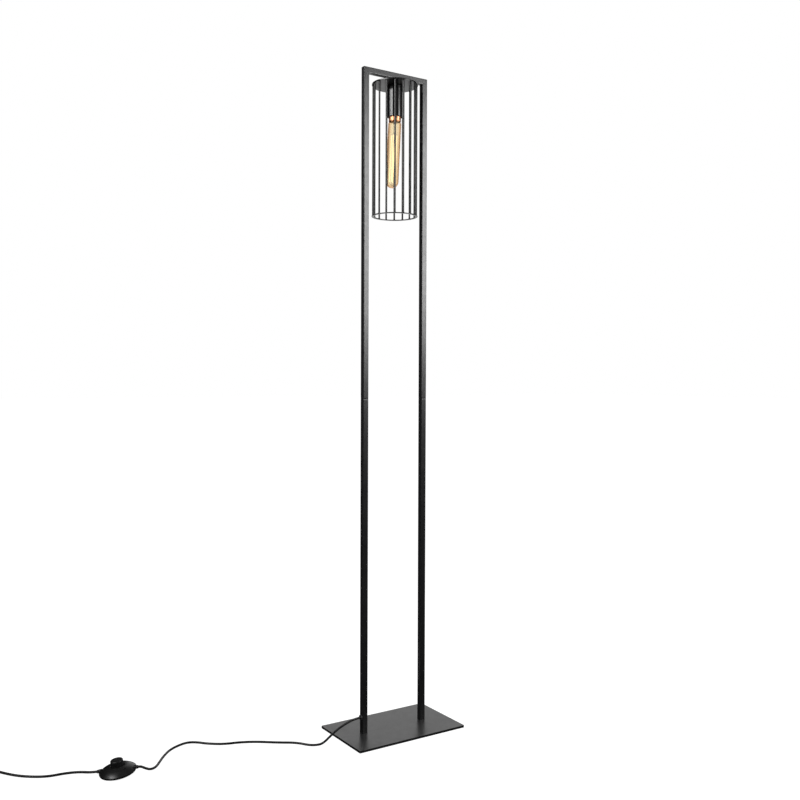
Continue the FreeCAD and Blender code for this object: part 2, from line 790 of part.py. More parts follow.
BUSH_HOLE = "(cord_radius + slip_clearance)"
bush = turned("cord_bush", [
    (BUSH_HOLE, "bush_length"), (BUSH_HOLE, "-tube_wall"),
    ("(%s + bush_mouth)" % BUSH_HOLE, "-2 * tube_wall"),
    ("(bush_barb_radius - bush_barb_slope)", "-2 * tube_wall"),
    ("bush_barb_radius", "(-tube_wall - slip_clearance)"),
    ("bush_neck_radius", "(-tube_wall - slip_clearance)"), ("bush_neck_radius", "0"),
    ("bush_radius", "0"), ("bush_radius", "(bush_length - bush_edge)", "bush_edge"),
    ("(bush_radius - bush_edge)", "bush_length")])
bush.Placement = FreeCAD.Placement(Vector(-value("frame_width / 2"), 0, value("exit_height")),
                                   FreeCAD.Rotation(Vector(0, 0, 1), Vector(-1, 0, 0)))
pieces["cord_bush"] = bush

# ---------------------------------------------------------------- foot switch

# It lies to the left of the base, propped on the edge of its foot by the stiff cord, with the
# side that faces the lamp raised.
switch_rotation = (FreeCAD.Rotation(Vector(0, -1, 0), value("switch_tilt"))
                   * FreeCAD.Rotation(Vector(0, 0, 1), value("switch_turn")))
switch_lift = value("switch_foot_radius") * math.sin(math.radians(value("switch_tilt")))
switch_place = FreeCAD.Placement(Vector(value("switch_across"), value("switch_depth"), switch_lift),
                                 switch_rotation)

switch_base = turned("switch_base", [
    ("0", "0"), ("switch_foot_radius", "0"), ("(switch_radius - switch_base_inset)", "switch_foot_rise"),
    ("(switch_radius - switch_base_inset)", "switch_base_height"), ("0", "switch_base_height")])
screw_count = int(value("switch_screw_count"))
screw_places = []
for number in range(screw_count):
    angle = 90 + number * 360 / screw_count
    screw_places.append(("(switch_screw_circle * cos(%d deg))" % angle,
                         "(switch_screw_circle * sin(%d deg))" % angle))
for across, up in screw_places:
    hole_sketch = new_sketch(switch_base, "XY_Plane")
    add_circle(hole_sketch, "(switch_screw_radius + slip_clearance)", across, up)
    pocket(switch_base, hole_sketch, "switch_base_height", along_normal=True)

HOLE_RADIUS = "(button_radius + button_gap)"
DOME_INSIDE = "(switch_dome_height - switch_wall)"
switch_cover = turned("switch_cover", [
    ("(switch_radius - switch_wall)", "switch_base_height"), ("switch_radius", "switch_base_height"),
    ("switch_radius", "switch_edge_height", "switch_dome_arc"),
    ("(%s + switch_hole_edge)" % HOLE_RADIUS, "switch_dome_height"),
    (HOLE_RADIUS, "(switch_dome_height - switch_hole_edge)"),
    (HOLE_RADIUS, DOME_INSIDE, "-(switch_dome_arc - switch_wall)"),
    ("(switch_radius - switch_wall)", "switch_edge_height")])
boss_sketch = new_sketch(switch_cover, "XY_Plane", "switch_base_height")
for across, up in screw_places:
    add_circle(boss_sketch, "switch_boss_radius", across, up)
pad(switch_cover, boss_sketch, "switch_boss_height")
collar_sketch = new_sketch(switch_cover, "YZ_Plane", "(switch_radius - 2 * switch_wall)")
add_circle(collar_sketch, "collar_radius", "0", "collar_height")
pad(switch_cover, collar_sketch, "(collar_reach - switch_radius + 2 * switch_wall)")
far_collar_sketch = new_sketch(switch_cover, "YZ_Plane", "-collar_reach")
add_circle(far_collar_sketch, "collar_radius", "0", "collar_height")
pad(switch_cover, far_collar_sketch, "(collar_reach - switch_radius + 2 * switch_wall)")

FLANGE_RADIUS = "(button_radius + button_flange_reach)"
FLANGE_TOP = "(%s - button_gap - button_flange_play)" % DOME_INSIDE
FLANGE_BOTTOM = "(%s + button_flange_play - button_flange)" % FLANGE_TOP
button = turned("switch_button", [
    ("0", "button_height"), ("0", "(button_height - button_wall)"),
    ("(button_radius - button_wall)", "(button_height - button_wall)"),
    ("(button_radius - button_wall)", FLANGE_BOTTOM), (FLANGE_RADIUS, FLANGE_BOTTOM),
    (FLANGE_RADIUS, FLANGE_TOP), ("button_radius", FLANGE_TOP),
    ("button_radius", "(button_height - button_edge)", "button_edge"),
    ("(button_radius - button_edge)", "button_height")])

MECHANISM_TOP = "(switch_base_height + mechanism_height)"
SPRING_TOP = "(button_height - button_wall)"
mechanism = turned("switch_mechanism", [
    ("0", "switch_base_height"), ("mechanism_radius", "switch_base_height"),
    ("mechanism_radius", MECHANISM_TOP), ("plunger_radius", MECHANISM_TOP),
    ("plunger_radius", "(%s - button_travel - button_gap)" % SPRING_TOP),
    ("0", "(%s - button_travel - button_gap)" % SPRING_TOP)])

spring_low = value(MECHANISM_TOP) + spring_wire
spring_high = value(SPRING_TOP) - spring_wire
spring_quarters = int(4 * value("spring_turns"))
spring_rise = (spring_high - spring_low) / spring_quarters
spring_slope = spring_rise / (value("spring_radius") * math.pi / 2)
spring_levels = [spring_low + step * spring_rise for step in range(spring_quarters + 1)]
spring_slopes = [spring_slope] * (spring_quarters + 1)
spring_slopes[0] = spring_slopes[-1] = 0
spring_edges = climbing_turns(Vector(0, 0, 0), value("spring_radius"), 0, spring_quarters,
                              spring_levels, spring_slopes)
print("switch_spring: least gap to itself %.2f mm" % least_gap(spring_edges, spring_wire))
spring = solid("switch_spring", swept(spring_edges, spring_wire))

switch_screws = []
for across, up in screw_places:
    switch_screws.append(Part.makeCylinder(value("switch_screw_radius"), value("switch_base_height"),
                                           Vector(value(across), value(up), 0)))
screws_below = solid("switch_screws", Part.makeCompound(switch_screws))

for name, piece in (("switch_base", switch_base), ("switch_cover", switch_cover),
                    ("switch_button", button), ("switch_mechanism", mechanism),
                    ("switch_spring", spring), ("switch_screws", screws_below)):
    piece.Placement = switch_place
    pieces[name] = piece

# ---------------------------------------------------------------- cord on the floor

collar_in = switch_place.multVec(Vector(value("collar_reach"), 0, value("collar_height")))
collar_out = switch_place.multVec(Vector(-value("collar_reach"), 0, value("collar_height")))
toward_lamp = switch_rotation.multVec(Vector(1, 0, 0))

# From the bush down to the floor and across it to the foot switch
route_to_switch = [
    Vector(-value(BUSH_FACE), 0, value("exit_height")), Vector(-103, 0, value("exit_height")),
    Vector(-123, 0, 36), Vector(-145, 0, 27.5), Vector(-165, 0, 15), Vector(-183, 0.5, cord_radius),
    Vector(-200, 1.5, cord_radius), Vector(-213.5, 12, cord_radius), Vector(-223, 28, cord_radius),
    Vector(-236, 42, cord_radius), Vector(-261, 58, cord_radius), Vector(-300, 89, cord_radius),
    Vector(-333, 106.5, cord_radius), Vector(-367, 115.5, cord_radius), Vector(-397, 138, cord_radius),
    Vector(-412, 157, cord_radius), Vector(-428, 167, cord_radius), Vector(-445, 165.5, cord_radius),
    Vector(-475, 151, cord_radius), Vector(-500, 122, cord_radius), Vector(-511.5, 105, cord_radius),
    Vector(-523, 86, 3.5), Vector(-532.5, 70.5, 8), Vector(-544.5, 63.5, 13),
    collar_in + toward_lamp * value("collar_lead"), collar_in]
pieces["cord_to_switch"], length_to_switch = cord("cord_to_switch", route_to_switch, cord_radius)

# On from the switch, out of sight to the left, up to the coil, which lies on its tie
coil_heading = math.radians(value("coil_direction"))
coil_level = value("tie_thickness") + cord_radius
coil_start = Vector(value("coil_across"), value("coil_depth"), coil_level)
travel = Vector(math.cos(coil_heading), math.sin(coil_heading), 0)
coil_meets = coil_start - travel * 2 * cord_radius
route_to_coil = [
    collar_out, collar_out - toward_lamp * value("collar_lead"), Vector(-669, 138, cord_radius),
    Vector(-697, 147.5, cord_radius), Vector(-728, 149.5, cord_radius), Vector(-757, 166, cord_radius),
    Vector(-783, 190, cord_radius), Vector(-806, 224, cord_radius),
    coil_meets - travel * value("coil_lead_in"), coil_meets]
pieces["cord_to_coil"], length_to_coil = cord("cord_to_coil", route_to_coil, cord_radius)

# The coil: half turns spiral in on the lower layer, one half turn climbs, half turns spiral out
coil_pitch = 2 * cord_radius + value("coil_gap")
coil_top = coil_level + coil_pitch
half_turns = int(2 * value("coil_turns"))
coil_radii = [value("coil_radius") - step * coil_pitch / 2 for step in range(half_turns + 1)]
outward = Vector(travel.y, -travel.x, 0)
coil_centre = coil_start - outward * coil_radii[0]
coil_edges = [Part.LineSegment(coil_meets, coil_start).toShape()]
angle = coil_heading - math.pi / 2
centre = coil_centre
radius = coil_radii[0]
for step, next_radius in enumerate(coil_radii + coil_radii[-2::-1]):
    here = Vector(math.cos(angle), math.sin(angle), 0)
    centre = centre + here * (radius - next_radius)
    radius = next_radius
    quarter = Vector(-here.y, here.x, 0)
    if step == half_turns:
        levels = (coil_level, (coil_level + coil_top) / 2, coil_top)
        slopes = (0, coil_pitch / (2 * radius), 0)
        coil_edges.extend(climbing_turns(centre, radius, angle, 2, levels, slopes))
        centre = Vector(centre.x, centre.y, coil_top)
    else:
        coil_edges.append(Part.Arc(centre + here * radius, centre + quarter * radius,
                                   centre - here * radius).toShape())
    angle += math.pi
coil_end = centre - Vector(math.cos(angle - math.pi), math.sin(angle - math.pi), 0) * radius
tail_heading = Vector(-math.sin(angle), math.cos(angle), 0)
tail_start = coil_end + tail_heading * 2 * cord_radius
coil_edges.append(Part.LineSegment(coil_end, tail_start).toShape())
coil_length = sum(edge.Length for edge in coil_edges)
coil_solid = swept(coil_edges, cord_radius)
coil_share = coil_solid.Volume / (math.pi * cord_radius ** 2 * coil_length)
print("cord_coil: %.0f mm long, volume over section times length %.4f, least gap to itself %.2f mm"
      % (coil_length, coil_share, least_gap(coil_edges, cord_radius)))
pieces["cord_coil"] = solid("cord_coil", coil_solid)

# The tie is a flat band round all the turns, on the side where no turn climbs
tie_low = ("(coil_radius - (coil_turns - 0.5) * (2 * cord_radius + coil_gap) - cord_radius"
           " - tie_gap - tie_slack)")
tie_high = "(coil_radius - (2 * cord_radius + coil_gap) / 2 + cord_radius + tie_gap)"
tie_inside = "(4 * cord_radius + coil_gap + tie_gap)"
tie = extruded("coil_tie", [
    [("(%s - tie_thickness)" % tie_low, "0"), ("(%s + tie_thickness)" % tie_high, "0"),
     ("(%s + tie_thickness)" % tie_high, "(%s + 2 * tie_thickness)" % tie_inside),
     ("(%s - tie_thickness)" % tie_low, "(%s + 2 * tie_thickness)" % tie_inside)],
    [(tie_low, "tie_thickness"), (tie_high, "tie_thickness"),
     (tie_high, "(%s + tie_thickness)" % tie_inside), (tie_low, "(%s + tie_thickness)" % tie_inside)]],
    "tie_width", role="XZ_Plane", symmetric=True)
tie.Placement = FreeCAD.Placement(Vector(coil_centre.x, coil_centre.y, 0),
                                  FreeCAD.Rotation(Vector(0, 0, 1), math.degrees(coil_heading) - 180))
pieces["coil_tie"] = tie

# The tail runs down to the plug, which lies flat on the floor
plug_level = value("plug_thickness") / 2
tail = [tail_start]
for step in range(3):
    turn = step * value("tail_turn")
    heading = FreeCAD.Rotation(Vector(0, 0, 1), turn).multVec(tail_heading)
    point = tail[-1] + heading * value("tail_run")
    point.z = coil_top if step == 0 else plug_level
    tail.append(point)
pieces["cord_to_plug"], tail_length = cord("cord_to_plug", tail, cord_radius)

# ---------------------------------------------------------------- plug

# Drawn along Z, from the cord's end at zero to the tips of the pins
plug = new_body("plug_body")
relief_sketch = new_sketch(plug, "XZ_Plane")
add_loop(relief_sketch, [
    ("0", "0"), ("(cord_radius + relief_wall)", "0"), ("relief_radius", "relief_length"),
    ("0", "relief_length")])
relief = plug.newObject("PartDesign::Revolution", "relief")
relief.Profile = relief_sketch
relief.ReferenceAxis = (relief_sketch, ["V_Axis"])
relief.Angle = 360
sections = []
for width, thickness, level in (
        ("plug_back_width", "plug_back_thickness", "relief_length"),
        ("plug_width", "plug_thickness", "(relief_length + plug_length / 2)"),
        ("plug_width", "plug_thickness", "(relief_length + plug_length)")):
    section = new_sketch(plug, "XY_Plane", level)
    add_loop(section, [
        ("-(%s / 2)" % width, "0"), ("-(%s / 2 - %s / 3)" % (width, thickness), "-(%s / 2)" % thickness),
        ("(%s / 2 - %s / 3)" % (width, thickness), "-(%s / 2)" % thickness), ("(%s / 2)" % width, "0"),
        ("(%s / 2 - %s / 3)" % (width, thickness), "(%s / 2)" % thickness),
        ("-(%s / 2 - %s / 3)" % (width, thickness), "(%s / 2)" % thickness)])
    sections.append(section)
loft = plug.newObject("PartDesign::AdditiveLoft", "housing")
loft.Profile = sections[0]
loft.Sections = sections[1:]
loft.Ruled = True

pins = []
for side in (-1, 1):
    plug_pin = turned("pin", [
        ("0", "0"), ("pin_radius", "0"), ("pin_radius", "(pin_length - pin_radius / 2)"),
        ("pin_radius / 2", "pin_length"), ("0", "pin_length")])
    place(plug_pin, "%d * pin_spacing / 2" % side, "0", "(relief_length + plug_length)")
    pins.append(plug_pin)
plug_pins = group("plug_pins", pins)

plug_heading = (tail[-1] - tail[-2]).normalize()
plug_rotation = FreeCAD.Rotation(plug_heading.cross(Vector(0, 0, -1)), Vector(0, 0, 1),
                                 plug_heading, "ZXY")
for name, piece in (("plug_body", plug), ("plug_pins", plug_pins)):
    piece.Placement = FreeCAD.Placement(tail[-1], plug_rotation)
    pieces[name] = piece

# ---------------------------------------------------------------- checks and files

total = inner_length + length_to_switch + 2 * value("switch_radius") + length_to_coil
total += coil_length + tail_length
print("cord outside the lamp: %.0f mm" % (total - inner_length))

document.recompute()
for item in document.Objects:
    if "Invalid" in item.State or "Error" in item.State:
        raise ValueError("%s failed: %s" % (item.Label, item.State))
os.makedirs("parts", exist_ok=True)
for name, piece in pieces.items():
    if piece.Shape.isNull() or not piece.Shape.isValid():
        raise ValueError("%s has no valid shape" % name)
    piece.Shape.exportStep("parts/%s.step" % name)
print("%d pieces written" % len(pieces))
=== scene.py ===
import json
import math

import bpy
import numpy as np
from mathutils import Matrix, Vector

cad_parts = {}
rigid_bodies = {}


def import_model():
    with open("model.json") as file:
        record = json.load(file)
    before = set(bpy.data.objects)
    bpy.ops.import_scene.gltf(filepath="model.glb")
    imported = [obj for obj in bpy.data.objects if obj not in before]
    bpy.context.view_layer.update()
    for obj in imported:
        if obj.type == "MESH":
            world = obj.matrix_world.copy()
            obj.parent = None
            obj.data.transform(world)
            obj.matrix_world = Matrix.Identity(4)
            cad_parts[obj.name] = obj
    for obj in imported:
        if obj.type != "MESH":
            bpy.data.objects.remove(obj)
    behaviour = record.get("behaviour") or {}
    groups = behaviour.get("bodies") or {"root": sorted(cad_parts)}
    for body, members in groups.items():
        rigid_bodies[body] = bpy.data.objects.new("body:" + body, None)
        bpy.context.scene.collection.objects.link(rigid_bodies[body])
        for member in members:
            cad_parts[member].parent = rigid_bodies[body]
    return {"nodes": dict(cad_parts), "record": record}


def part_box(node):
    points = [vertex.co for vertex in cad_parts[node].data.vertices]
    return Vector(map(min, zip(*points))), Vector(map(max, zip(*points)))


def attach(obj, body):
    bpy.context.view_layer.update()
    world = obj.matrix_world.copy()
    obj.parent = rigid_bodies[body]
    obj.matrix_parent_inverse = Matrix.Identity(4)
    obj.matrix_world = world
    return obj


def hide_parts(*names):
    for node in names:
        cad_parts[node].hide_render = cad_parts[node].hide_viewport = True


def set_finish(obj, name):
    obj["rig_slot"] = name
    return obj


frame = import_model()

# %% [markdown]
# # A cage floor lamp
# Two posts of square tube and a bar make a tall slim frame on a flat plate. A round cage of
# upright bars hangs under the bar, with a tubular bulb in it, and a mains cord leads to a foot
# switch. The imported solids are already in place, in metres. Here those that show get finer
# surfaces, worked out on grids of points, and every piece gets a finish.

scene = bpy.context.scene
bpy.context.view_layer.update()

# %% [markdown]
# ## Camera
# The lamp is seen from the left of its front, from a little over half its height, with a short
# telephoto lens. A camera can be aimed with a constraint, but a place and three angles written
# down stay the same in every run and are easy to read back from a photograph.

# %% Camera
CAMERA_PLACE = (-1.146998, -1.780690, 0.799803)
CAMERA_HEADING = -33.163
CAMERA_PITCH = -1.151
CAMERA_ROLL = 0.194

lens = bpy.data.cameras.new("studio_camera")
lens.lens = 41.605
lens.sensor_width = 36
camera = bpy.data.objects.new("studio_camera", lens)
camera.matrix_world = (Matrix.Translation(CAMERA_PLACE)
                       @ Matrix.Rotation(math.radians(CAMERA_HEADING), 4, "Z")
                       @ Matrix.Rotation(math.radians(90 + CAMERA_PITCH), 4, "X")
                       @ Matrix.Rotation(math.radians(CAMERA_ROLL), 4, "Z"))
scene.collection.objects.link(camera)
scene.camera = camera
distance = (Vector(CAMERA_PLACE) - Vector((0, 0, 0.8))).length
print("camera stands %.2f m from the lamp" % distance)

# %% [markdown]
# ## The cord's routes
# A mains lead is a fixed length of something springy: it leaves the post straight, droops to the
# floor and lies there in loose curves. A NURBS spline bends smoothly near its control points, so
# a handful of them, chosen where the lead turns, is enough. The foot switch lies propped on the
# edge of its foot by the stiff lead, so its place comes first: the lead meets its two collars.

# %% Where the foot switch lies
CORD_RADIUS = 0.0025
SWITCH_MIDDLE = (-0.6053, 0.0908)
SWITCH_TILT = math.radians(7)
SWITCH_TURN = math.radians(-30)
SWITCH_FOOT_RADIUS = 0.0352
COLLAR_REACH = 0.041
COLLAR_HEIGHT = 0.0062
LEAD_STRAIGHT_IN = 0.006
LEAD_STRAIGHT_OUT = 0.014

switch_place = (Matrix.Translation((*SWITCH_MIDDLE, SWITCH_FOOT_RADIUS * math.sin(SWITCH_TILT)))
                @ Matrix.Rotation(SWITCH_TILT, 4, Vector((0, -1, 0)))
                @ Matrix.Rotation(SWITCH_TURN, 4, "Z"))
collar_in = switch_place @ Vector((COLLAR_REACH, 0, COLLAR_HEIGHT))
collar_out = switch_place @ Vector((-COLLAR_REACH, 0, COLLAR_HEIGHT))
toward_lamp = (collar_in - collar_out).normalized()
print("the lead enters the switch at", [round(x, 4) for x in collar_in])

# %% From the post to the foot switch
bush_face = Vector((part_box("cord_bush")[0].x, 0, 0.0415))
route_to_switch = [
    bush_face, (-0.103, 0, 0.0415), (-0.123, 0, 0.036), (-0.145, 0, 0.0275), (-0.165, 0, 0.015),
    (-0.183, 0.0005, CORD_RADIUS), (-0.2, 0.0015, CORD_RADIUS), (-0.2135, 0.012, CORD_RADIUS),
    (-0.223, 0.028, CORD_RADIUS), (-0.236, 0.042, CORD_RADIUS), (-0.261, 0.058, CORD_RADIUS),
    (-0.3, 0.089, CORD_RADIUS), (-0.333, 0.1065, CORD_RADIUS), (-0.367, 0.1155, CORD_RADIUS),
    (-0.397, 0.138, CORD_RADIUS), (-0.412, 0.157, CORD_RADIUS), (-0.428, 0.167, CORD_RADIUS),
    (-0.445, 0.1655, CORD_RADIUS), (-0.475, 0.151, CORD_RADIUS), (-0.499, 0.124, CORD_RADIUS),
    (-0.515, 0.101, CORD_RADIUS), (-0.531, 0.0775, 0.0026), (-0.546, 0.0665, 0.0048),
    (-0.557, 0.0665, 0.0098), collar_in + toward_lamp * LEAD_STRAIGHT_IN, collar_in]

# %% [markdown]
# The rest of the lead lies out of the picture, wound up as for storage. Its turns spiral in on
# the floor, climb, and spiral out again on top, with each half turn an arc about its own centre.
# Control points on a circle pull the spline inside it, so they stand a little further out: a
# quadratic spline touches the middle of each side of the polygon that they make.

# %% From the foot switch to the coil, and the coil's turns
COIL_HEADING = math.radians(122)
COIL_RADIUS = 0.036
COIL_GAP = 0.0006
COIL_HALF_TURNS = 6
COIL_APPROACH = 0.024
TIE_THICKNESS = 0.0008
TAIL_RUN = 0.018
TAIL_TURN = math.radians(-18)
POINTS_PER_HALF_TURN = 8

pitch = 2 * CORD_RADIUS + COIL_GAP
low_level = TIE_THICKNESS + CORD_RADIUS
high_level = low_level + pitch
coil_start = Vector((-0.841, 0.281, low_level))
travel = Vector((math.cos(COIL_HEADING), math.sin(COIL_HEADING), 0))
outward = Vector((travel.y, -travel.x, 0))
coil_meets = coil_start - travel * 2 * CORD_RADIUS
route_onward = [
    collar_out, collar_out - toward_lamp * LEAD_STRAIGHT_OUT, (-0.669, 0.138, CORD_RADIUS),
    (-0.697, 0.1475, CORD_RADIUS), (-0.728, 0.1495, CORD_RADIUS), (-0.757, 0.166, CORD_RADIUS),
    (-0.783, 0.19, CORD_RADIUS), (-0.806, 0.224, CORD_RADIUS), coil_meets - travel * COIL_APPROACH]

radii = COIL_RADIUS - np.arange(COIL_HALF_TURNS + 1) * pitch / 2
radii = np.concatenate([radii, radii[-2::-1]])
angle = COIL_HEADING - math.pi / 2
centre = coil_start - outward * COIL_RADIUS
before = COIL_RADIUS
for step, radius in enumerate(radii):
    here = Vector((math.cos(angle), math.sin(angle), 0))
    centre = centre + here * (before - radius)
    before = radius
    for share in (np.arange(POINTS_PER_HALF_TURN) + 0.5) / POINTS_PER_HALF_TURN:
        turn = angle + share * math.pi
        reach = radius / math.cos(math.pi / POINTS_PER_HALF_TURN / 2)
        climb = 0 if step < COIL_HALF_TURNS else 1
        if step == COIL_HALF_TURNS:
            climb = (1 - math.cos(share * math.pi)) / 2
        point = centre + Vector((math.cos(turn), math.sin(turn), 0)) * reach
        route_onward.append((point.x, point.y, low_level + climb * pitch))
    angle += math.pi

coil_end = centre - Vector((math.cos(angle - math.pi), math.sin(angle - math.pi), 0)) * before
coil_end.z = high_level
tail_heading = Vector((-math.sin(angle), math.cos(angle), 0))
plug_level = (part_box("plug_body")[0].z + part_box("plug_body")[1].z) / 2
tail = [coil_end + tail_heading * 2 * CORD_RADIUS]
for step in range(3):
    run = Matrix.Rotation(step * TAIL_TURN, 3, "Z") @ tail_heading * TAIL_RUN
    tail.append(tail[-1] + run)
    tail[-1].z = high_level if step == 0 else plug_level
route_onward += tail
print("the lead has", len(route_to_switch) + len(route_onward), "control points")

# %% The cord as two smooth lines
def cord_line(name, points, stands_for):
    """A round cord along one NURBS spline whose control points are the route's own points. The
    cord's radius is set at each point, and the bevel is 1 times that, because Blender takes a
    curve's box from its control points and their radii."""
    curve = bpy.data.curves.new(name, "CURVE")
    curve.dimensions = "3D"
    curve.resolution_u = 8
    curve.bevel_depth = 1.0
    curve.bevel_resolution = 4
    curve.use_fill_caps = True
    spline = curve.splines.new("NURBS")
    spline.points.add(len(points) - 1)
    control = np.ones((len(points), 4))
    control[:, :3] = points
    spline.points.foreach_set("co", control.ravel())
    spline.points.foreach_set("radius", np.full(len(points), CORD_RADIUS))
    spline.order_u = 3
    spline.use_endpoint_u = True
    piece = bpy.data.objects.new(name, curve)
    scene.collection.objects.link(piece)
    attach(piece, "lamp")
    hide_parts(*stands_for)
    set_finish(piece, "cord_sheath")
    return piece


lead_to_switch = cord_line("lead_to_switch", route_to_switch, ["cord_to_switch"])
lead_onward = cord_line("lead_onward", route_onward, ["cord_to_coil", "cord_coil", "cord_to_plug"])

# %% [markdown]
# ## Surfaces worked out on grids
# Most pieces here are bent, drawn, turned or moulded, and all of these are one idea: a section
# carried along a path. Its points fill a grid with rows along the path and columns round the
# section, which numpy works out in one go. The quads between neighbours make the mesh. Where the
# path ends, a fan of triangles closes the hole. The sign of the enclosed volume tells whether
# the faces point outwards.

# %% A closed mesh from a grid of points
def surface(name, points, slot, body="lamp", stands_for=(), loop=False):
    """A mesh over points[row, column]. Columns close on themselves. Rows do too if loop is set,
    and otherwise a fan from the middle of the first and the last row closes each end. The
    volume is the sum over all triangles a, b, c of a . (b x c) / 6: if it is below zero, the
    faces are turned round."""
    rows, columns = points.shape[:2]
    index = np.arange(rows * columns).reshape(rows, columns)
    index = np.hstack([index, index[:, :1]])
    if loop:
        index = np.vstack([index, index[:1]])
    corners = [index[:-1, :-1], index[:-1, 1:], index[1:, 1:], index[1:, :-1]]
    quads = np.stack(corners, -1).reshape(-1, 4)
    places = points.reshape(-1, 3)
    triangles = np.empty((0, 3), int)
    if not loop:
        middle = len(places)
        places = np.vstack([places, points[0].mean(0), points[-1].mean(0)])
        first = np.stack([np.full(columns, middle), index[0, 1:], index[0, :-1]], -1)
        last = np.stack([np.full(columns, middle + 1), index[-1, :-1], index[-1, 1:]], -1)
        triangles = np.vstack([first, last])
    inner = places - places.mean(0)
    every = np.vstack([quads[:, [0, 1, 2]], quads[:, [0, 2, 3]], triangles])
    a, b, c = (inner[every[:, corner]] for corner in range(3))
    volume = np.einsum("ij,ij->i", a, np.cross(b, c)).sum() / 6
    if volume < 0:
        quads = quads[:, ::-1]
        triangles = triangles[:, ::-1]
    mesh = bpy.data.meshes.new(name)
    mesh.from_pydata(places.tolist(), [], quads.tolist() + triangles.tolist())
    mesh.polygons.foreach_set("use_smooth", np.ones(len(mesh.polygons), bool))
    mesh.set_sharp_from_angle(angle=math.radians(40))
    piece = bpy.data.objects.new(name, mesh)
    scene.collection.objects.link(piece)
    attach(piece, body)
    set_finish(piece, slot)
    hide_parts(*stands_for)
    print("%s: %d faces, %.2f cubic centimetres" % (name, len(mesh.polygons), abs(volume) * 1e6))
    return piece


# %% [markdown]
# A real edge is never sharp: paint, tools and moulds leave a small round on it, and the round is
# what catches the light. So each outline is written by its corners, and a helper rounds them.
# It adds one more point on each side of a round, which keeps the shading of the flat flat.

# %% Outlines with rounded corners
def rounded(corners, radii, steps=5):
    """Each corner C becomes the curve (1-t)^2 A + 2t(1-t) C + t^2 B from A to B, which lie one
    radius from it along the two edges. Corners of no radius stay as they are."""
    corners = np.asarray(corners, float)
    radii = np.broadcast_to(np.asarray(radii, float), len(corners))[:, None]
    back = np.roll(corners, 1, 0) - corners
    ahead = np.roll(corners, -1, 0) - corners
    back /= np.linalg.norm(back, axis=1)[:, None]
    ahead /= np.linalg.norm(ahead, axis=1)[:, None]
    t = np.linspace(0, 1, steps)[None, :, None]
    start = (corners + back * radii)[:, None]
    finish = (corners + ahead * radii)[:, None]
    curve = (1 - t) ** 2 * start + 2 * t * (1 - t) * corners[:, None] + t ** 2 * finish
    hold = 1.6 * radii
    curve = np.concatenate(
        [(corners + back * hold)[:, None], curve, (corners + ahead * hold)[:, None]], 1)
    curve = curve.reshape(-1, corners.shape[1])
    apart = np.linalg.norm(curve - np.roll(curve, 1, 0), axis=1) > 1e-7
    return curve[apart]


def arch(start, finish, rise, steps=9):
    """Points from start to finish on a parabola that stands out by rise, to the left of the way
    it goes: P(t) = start + t (finish - start) + 4 t (1-t) rise n."""
    start = np.asarray(start, float)
    finish = np.asarray(finish, float)
    along = finish - start
    normal = np.array([-along[1], along[0]]) / np.linalg.norm(along)
    t = np.linspace(0, 1, steps)[:, None]
    return start + t * along + 4 * t * (1 - t) * rise * normal


def turned(profile, columns=96):
    """A profile of (radius, height) points turned about Z: (r cos a, r sin a, h)."""
    profile = np.asarray(profile, float)
    angle = np.linspace(0, 2 * math.pi, columns, endpoint=False)
    points = np.empty((len(profile), columns, 3))
    points[..., 0] = profile[:, :1] * np.cos(angle)
    points[..., 1] = profile[:, :1] * np.sin(angle)
    points[..., 2] = profile[:, 1:]
    return points


def moved(points, place):
    """The points carried by a 4 x 4 placement."""
    place = np.array(place)
    return points @ place[:3, :3].T + place[:3, 3]


def standing(x, y, z):
    """A placement that only shifts."""
    return Matrix.Translation((x, y, z))


# %% [markdown]
# ## Frame of square tube
# The posts come in two lengths that plug together half way up, which leaves a fine line round
# each post. At the top the tube is cut at 45 degrees, welded to the bar and ground flush. One
# rounded square, carried up from the plate, makes a post. The height of its last row follows x,
# which is all that a mitre is. A row held 3 mm from each end keeps the long faces evenly shaded.

# %% Posts
TUBE_CORNER = 0.0012
SEAM_INSET = 0.00035
HOLD = 0.003

post_low, post_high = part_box("left_lower_post")
tube_half = (post_high.x - post_low.x) / 2
post_x = (post_high.x + post_low.x) / 2
frame_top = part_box("top_bar")[1].z
square = rounded([(-tube_half, -tube_half), (tube_half, -tube_half),
                  (tube_half, tube_half), (-tube_half, tube_half)], TUBE_CORNER)


def post(name, x, heights, insets, mitre=0):
    """A rounded square at each height, drawn in by its inset. With a mitre of +1 or -1 the rows
    tilt in proportion to their height, until the last falls away along +x or -x at 45 degrees."""
    heights = np.asarray(heights, float)
    shrink = 1 - np.asarray(insets) / tube_half
    points = np.empty((len(heights), len(square), 3))
    points[..., :2] = square * shrink[:, None, None]
    share = (heights - heights[0]) / (heights[-1] - heights[0])
    fall = tube_half + mitre * points[..., 0] if mitre else np.zeros(points.shape[:2])
    points[..., 2] = heights[:, None] - share[:, None] * fall
    points[..., 0] += x
    return surface(name, points, "frame_coat", stands_for=[name])


for side, x, mitre in (("left", post_x, 1), ("right", -post_x, -1)):
    low, seam = post_low.z, post_high.z
    post(side + "_lower_post", x,
         [low, low + HOLD, seam - HOLD, seam - 0.0009, seam - 0.0003, seam],
         [0, 0, 0, 0, 0.0001, SEAM_INSET])
    post(side + "_upper_post", x,
         [seam, seam + 0.0003, seam + 0.0009, seam + HOLD, frame_top - HOLD, frame_top],
         [SEAM_INSET, 0.0001, 0, 0, 0, 0], mitre)

# %% [markdown]
# The bar is the same rounded square, laid along X. Its ends follow z, so that they meet the
# posts' mitres: the top edge is the longest and the bottom edge the shortest.

